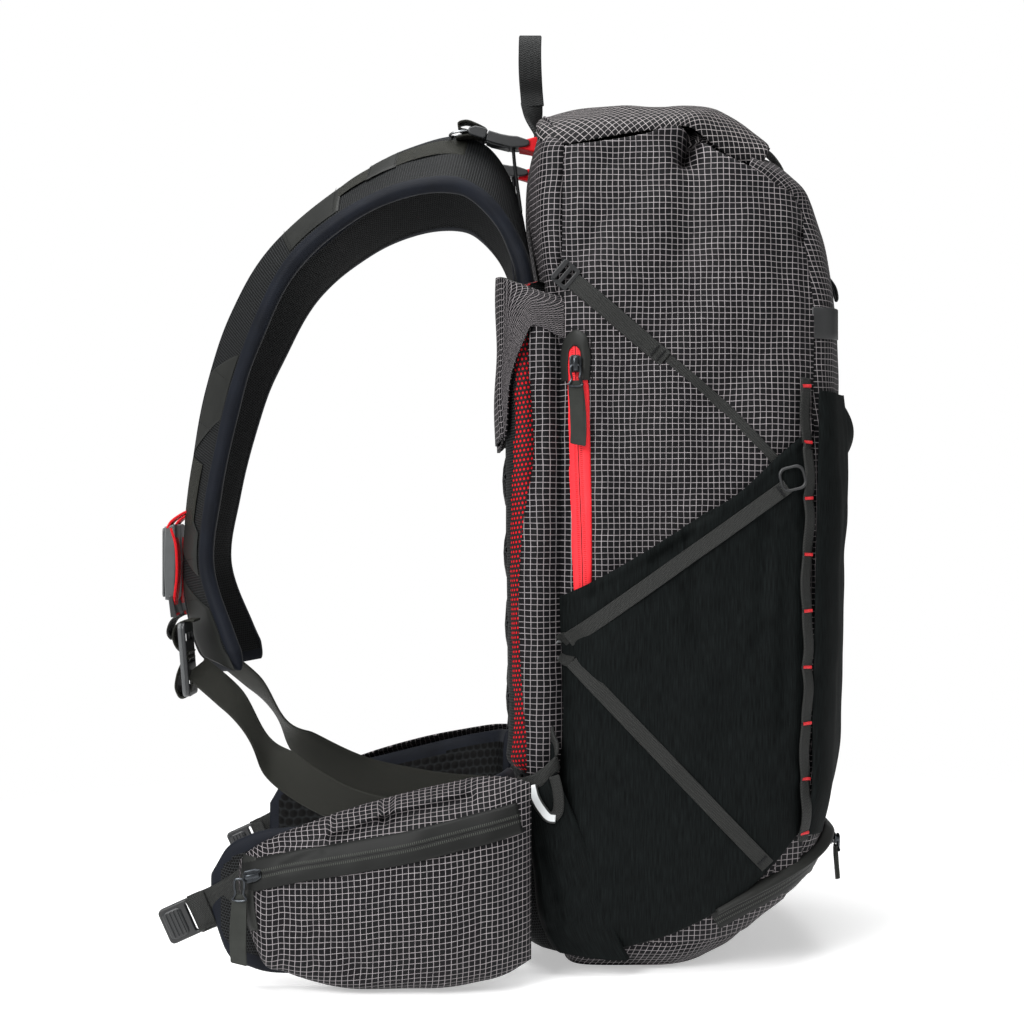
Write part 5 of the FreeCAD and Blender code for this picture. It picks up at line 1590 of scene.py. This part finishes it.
# The wings' mesh is knitted in large open cells, drawn at their real size.
honeycomb = open_mesh(
    "honeycomb_mesh_knitted", "#0a0b0c", "#191b1c", "#020202", 0.0078, 0.0074, fill=0.4, depth=0.0012
)
run = run_of(line)
uv = np.stack(np.broadcast_arrays(run[:, None], half[:, None] * b), axis=-1) / 1000
which = []
for i in range(STATIONS - 1):
    for j in range(AROUND):
        edge = abs((b[j] + b[(j + 1) % AROUND]) / 2) * half[i] > half[i] - 11 or run[-1] - run[i] < 9
        which.append(1 if edge else (2 if a[j] > 0 else 0))
which += [1, 1]
wing = tube_of("wing_cover", rings, [honeycomb, binding, black_mesh], uv, which, turned=True)
wing, other = fit_pair(wing, "hip_wing_left", "spacer_mesh", "hip_wing_left")
seam = []
for level in (1, -1):
    keep = slice(4, 114)
    p = np.stack(
        [
            line[keep, 0] + side[keep, 0] * 6.6, line[keep, 1] + side[keep, 1] * 6.6,
            (mid + level * (half - 12.5))[keep]
        ],
        axis=1
    )
    seam.append(
        stitches(
            "stitch", p, np.stack([side[keep, 0], side[keep, 1], 0 * side[keep, 0]], axis=1), pitch=3.2, long=2.2
        )
    )
fit_pair(joined("hip_wing_stitching", seam), "hip_wing_left", "spacer_mesh")

# The pocket on each wing: ripstop, full at the middle, with a pleat along its top panel.
pocket_out = flow(
    [
        (84, 173), (86, 178), (91, 183.5), (98, 189), (108, 195), (124, 200), (142, 203), (162, 204),
        (190, 203.5), (230, 199.5), (262, 194), (280, 189), (289, 184), (294, 177), (297, 170)
    ]
)
pocket_in = flow([(84, 172), (105, 166), (126, 161), (150, 165), (180, 169), (250, 171.5), (297, 168.5)])
pocket_top = flow(
    [(84, 150), (95, 153), (107, 154), (150, 148), (193, 138), (250, 119.5), (275, 109), (291, 99), (297, 93)]
)
pocket_foot = flow([(84, 22), (100, 12), (128, 4), (178, 1.5), (228, 4), (262, 14), (279, 22), (289, 46), (297, 74)])
PLEATS = [
    ((228, 112), (190, 125), 3.5, 4.2), ((190, 125), (128, 140), 3.5, 4.6), ((226, 118), (186, 132), 3.0, -3.4),
    ((186, 132), (134, 145), 3.0, -3.0), ((238, 46), (205, 20), 6, 2.2), ((262, 60), (240, 24), 6, 2.0),
    ((262, 92), (236, 104), 3.5, 1.6), ((120, 60), (112, 20), 6, 1.8)
]


def on_hip(y, z, lift=0.0):
    """Places on the near hip pocket."""
    y, z = np.broadcast_arrays(np.asarray(y, float), np.asarray(z, float))
    middle, deep = (pocket_top(y) + pocket_foot(y)) / 2, (pocket_top(y) - pocket_foot(y)) / 2
    share = np.clip(np.abs(z - middle) / deep, 0, 1)
    full = np.where(z > middle, (1 - share**2.1) ** (1 / 1.7), (1 - share**3.2) ** (1 / 2.9))
    out = pocket_in(y) + (pocket_out(y) - pocket_in(y)) * full
    uneven = ripple(3, y, z, 34, 1.5) + ripple(3, y, z, 13, 0.4)
    out = out - folded(y, z, PLEATS) * np.clip(full * 3, 0, 1) + uneven * np.clip(full * 2, 0, 1)
    return np.stack([-(out + lift), y, z], axis=-1)


y = 190.5 - 106.5 * np.cos(np.linspace(0, math.pi, 190))[:, None]
angle = np.linspace(-math.pi / 2, math.pi / 2, 130)[None, :]
z = (pocket_top(y) + pocket_foot(y)) / 2 + (pocket_top(y) - pocket_foot(y)) / 2 * np.sin(angle) * 0.9999
rows = on_hip(y, z)
pocket = cloth("hip_pocket_bag", rows, ripstop, laid_out(rows), thick=1.6)
fit_pair(pocket, "hip_wing_left", "ripstop", "hip_pocket_left")
zip_line = [(292, 83.5), (258, 92), (218, 99.5), (178, 107), (134, 117), (92, 126.5)]
fit_pair(
    band_on(on_hip, zip_line, 22, 0.3, black_zip, "hip_zip_band", thick=1.0, crown=0.6), "hip_wing_left",
    "black_zip", "hip_zip_left"
)
tape = band_on(on_hip, [(288.5, 98), (289, 70), (285.5, 46)], 11, 0.2, coated, "hip_pocket_end", thick=1.2)
fit_pair(tape, "hip_wing_left", "coated_patch")
hx = float(on_hip(283, 86)[0])
slider("hip_slider", (hx - 3.2, 284, 86), (0, 1, -0.2), (-1, 0.25, 0), "hip_slider_left", "hip_slider_left", fit_pair)
pull(
    "hip_pull", (hx - 6.2, 293, 82), (0, 0, 1), (-1, 0.1, 0), 60, 12, 1.2, "hip_pull_left", "hip_pull_left",
    fit_pair
)

# Waist webbing from each wing's tip, through its keeper loop to half of a side-release buckle.
along = unit((0, 1, -0.45))
tip = np.array([-161, 317, 58.0])
route = smooth_line(
    [
        tip - along * 46 + [-7.4, 0, 9], tip - along * 20 + [-7.6, 0, 2], tip + [-3, 0, 0], tip + along * 8,
        tip + along * 15
    ],
    step=2
)
fit_pair(
    webbing("waist_tape", route, (-1, 0, 0), 29, 1.8, black_webbing), "hip_wing_left", "webbing",
    "waist_webbing_left"
)
turn = smooth_line(
    [
        tip + along * 2 + [-4, 0, 1], tip + along * 12 + [-5.5, 0, 1], tip + along * 15 + [-3, 0, 0],
        tip + along * 14 + [2, 0, 0], tip + along * 4 + [3.4, 0, 0]
    ],
    step=1.2
)
fit_pair(webbing("waist_fold", turn, faced(turn, (0, 0.45, 1)), 26, 1.8, black_webbing), "hip_wing_left", "webbing")
centre = tip + along * 25
plates = [([rounded(28, 27, 3.5), rounded(5, 22, 1.5, (-9.5, 0))], 5.5, centre, 1.0)]
plates.append(([rounded(15, 22, 4, (4.5, 0))], 8.2, centre, 1.6))
plates += [([rounded(1.6, 19, 0.7, (rib, 0))], 9.6, centre, 0.5) for rib in (0, 3, 6, 9)]
ribs = mouldings(along, (-1, 0, 0), black_nylon, *plates)
fit_pair(joined("waist_buckle_half", ribs), "waist_buckle_left", "dark_plastic", "waist_buckle_left")

# ------------------------------------------------------------------ grab loop, top strap, keeper and label
# The grab loop is one tape folded double and twisted a quarter turn. The top strap hooks the rolled mouth
# down to the catch on the front.
grip = smooth_line(
    [
        (-1.5, 82, 680), (-1.8, 82, 690), (-9, 82, 702), (-12, 82, 722), (-7.5, 82, 734), (0, 82, 737.2),
        (7.5, 82, 734), (12, 82, 722), (9, 82, 702), (1.8, 82, 690), (1.5, 82, 680)
    ],
    step=2
)
grip[:, 1] += 2.4 * np.sin((grip[:, 2] - 680) / 57 * 2.2) - 1
outs = faced(grip, (0, -1, 0))
neck = smooth_line([(0, 78, 655), (0, 79, 662), (0, 80.5, 672), (0, 82, 684)], step=1.5)
turn = np.linspace(0, math.pi / 2, len(neck))
twisted = np.stack([np.sin(turn), np.cos(turn), 0 * turn], axis=1)
# Tubular webbing has coarser ribs than the flat tapes.
# Its lighter colour is the painted highlight on the raised ribs.
tall_ribs = woven_tape("grab_webbing_tubular", "#111212", "#3a3b3b", pitch=0.0019)
parts = [webbing("tape", grip, outs, 18.5, 2.0, tall_ribs), webbing("tape", neck, twisted, 18, 3.4, tall_ribs)]
fit(joined("grab_loop_tape", parts), "grab_loop", "webbing", "grab_loop")
foot = smooth_line([(0, 77, 628), (0, 78.6, 640), (0, 79, 650), (0, 78.5, 657)], step=2)
parts = [webbing("tape", foot, (0, 1, 0), 18, 2.6, tall_ribs)]
parts += [bartack("tack", (0, 80.6, z), (1, 0, 0), (0, 1, 0), 15, 2, black_thread) for z in (634, 640, 651)]
fit(joined("grab_loop_foot_tape", parts), "root", "webbing", "grab_loop_foot")
strap = [(0, -104, 646), (0, -112, 641), (0, -121, 630), (0, -127, 616), (0, -131.5, 604), (0, -133.5, 598)]
parts = [bent_tape("tape", strap, (-1, 0, 0), 19, 1.8, black_webbing, 2)]
parts.append(bartack("tack", (0, -112, 644), (1, 0, 0), (0, -0.6, 0.8), 16, 2, black_thread))
fit(joined("top_strap_tape", parts), "roll_top", "webbing", "top_strap")
down = unit((0, -0.25, -1))
forwards = (0, -1, 0.25)
rims = [rounded(14, 24, 3), rounded(4, 19, 1.2, (-3, 0))]
nose = ([rounded(6, 14, 1.5, (6, 0))], 6.5, (0, -136, 594), 0.9)
hook = mouldings(down, forwards, black_nylon, (rims, 4, (0, -134.5, 597), 0.9), nose)
fit(joined("top_hook_moulding", hook), "roll_top", "dark_plastic", "top_hook")
rims = [rounded(13, 24, 3), rounded(4, 16, 1.2, (-2, 0))]
catch = mouldings(down, forwards, black_nylon, (rims, 5, (0, -141, 583.5), 0.9))
fit(joined("top_catch_moulding", catch), "root", "dark_plastic", "top_catch")
cord = [
    (-5, -155, 547), (-5, -160, 540), (-6.5, -166.5, 531), (-4.4, -168.5, 522.5), (0, -168.4, 520),
    (4.4, -168.5, 522.5), (6.5, -166.5, 531), (5, -160, 540), (5, -155, 547)
]
fit(round_cord("keeper_loop", cord, 1.3, cord_black), "keeper_cord", "elastic_cord", "keeper_cord")
tab = webbing(
    "keeper_tab", smooth_line([(0, -148, 560), (0, -152, 555), (0, -155, 550), (0, -155.5, 545)], step=1.5),
    (0, -1, 0.3), 16, 2.6, black_webbing
)
fit(tab, "root", "webbing")
# The label is a close plain weave with nothing on it.
label_cloth, tree, surface = new_material("blank_label_woven", Roughness=0.5)
uv = add(tree, "UVMap", {"uv_map": "cloth"})
grain = add(tree, "TexWave", {"Scale": 900.0, "Distortion": 1.0}, {"Vector": uv})
add(
    tree, "Mix", {"data_type": "RGBA", 6: linear("#101112"), 7: linear("#202122")}, {0: grain},
    into=surface.inputs["Base Color"]
)
line = [(-124, -128, 489.5), (-122, -137, 489.5), (-117, -145, 489.5), (-108, -150, 489.5)]
fit(bent_tape("label_tab", line, (0, 0, -1), 24, 1.2, label_cloth), "root", "label_cloth", "blank_label")
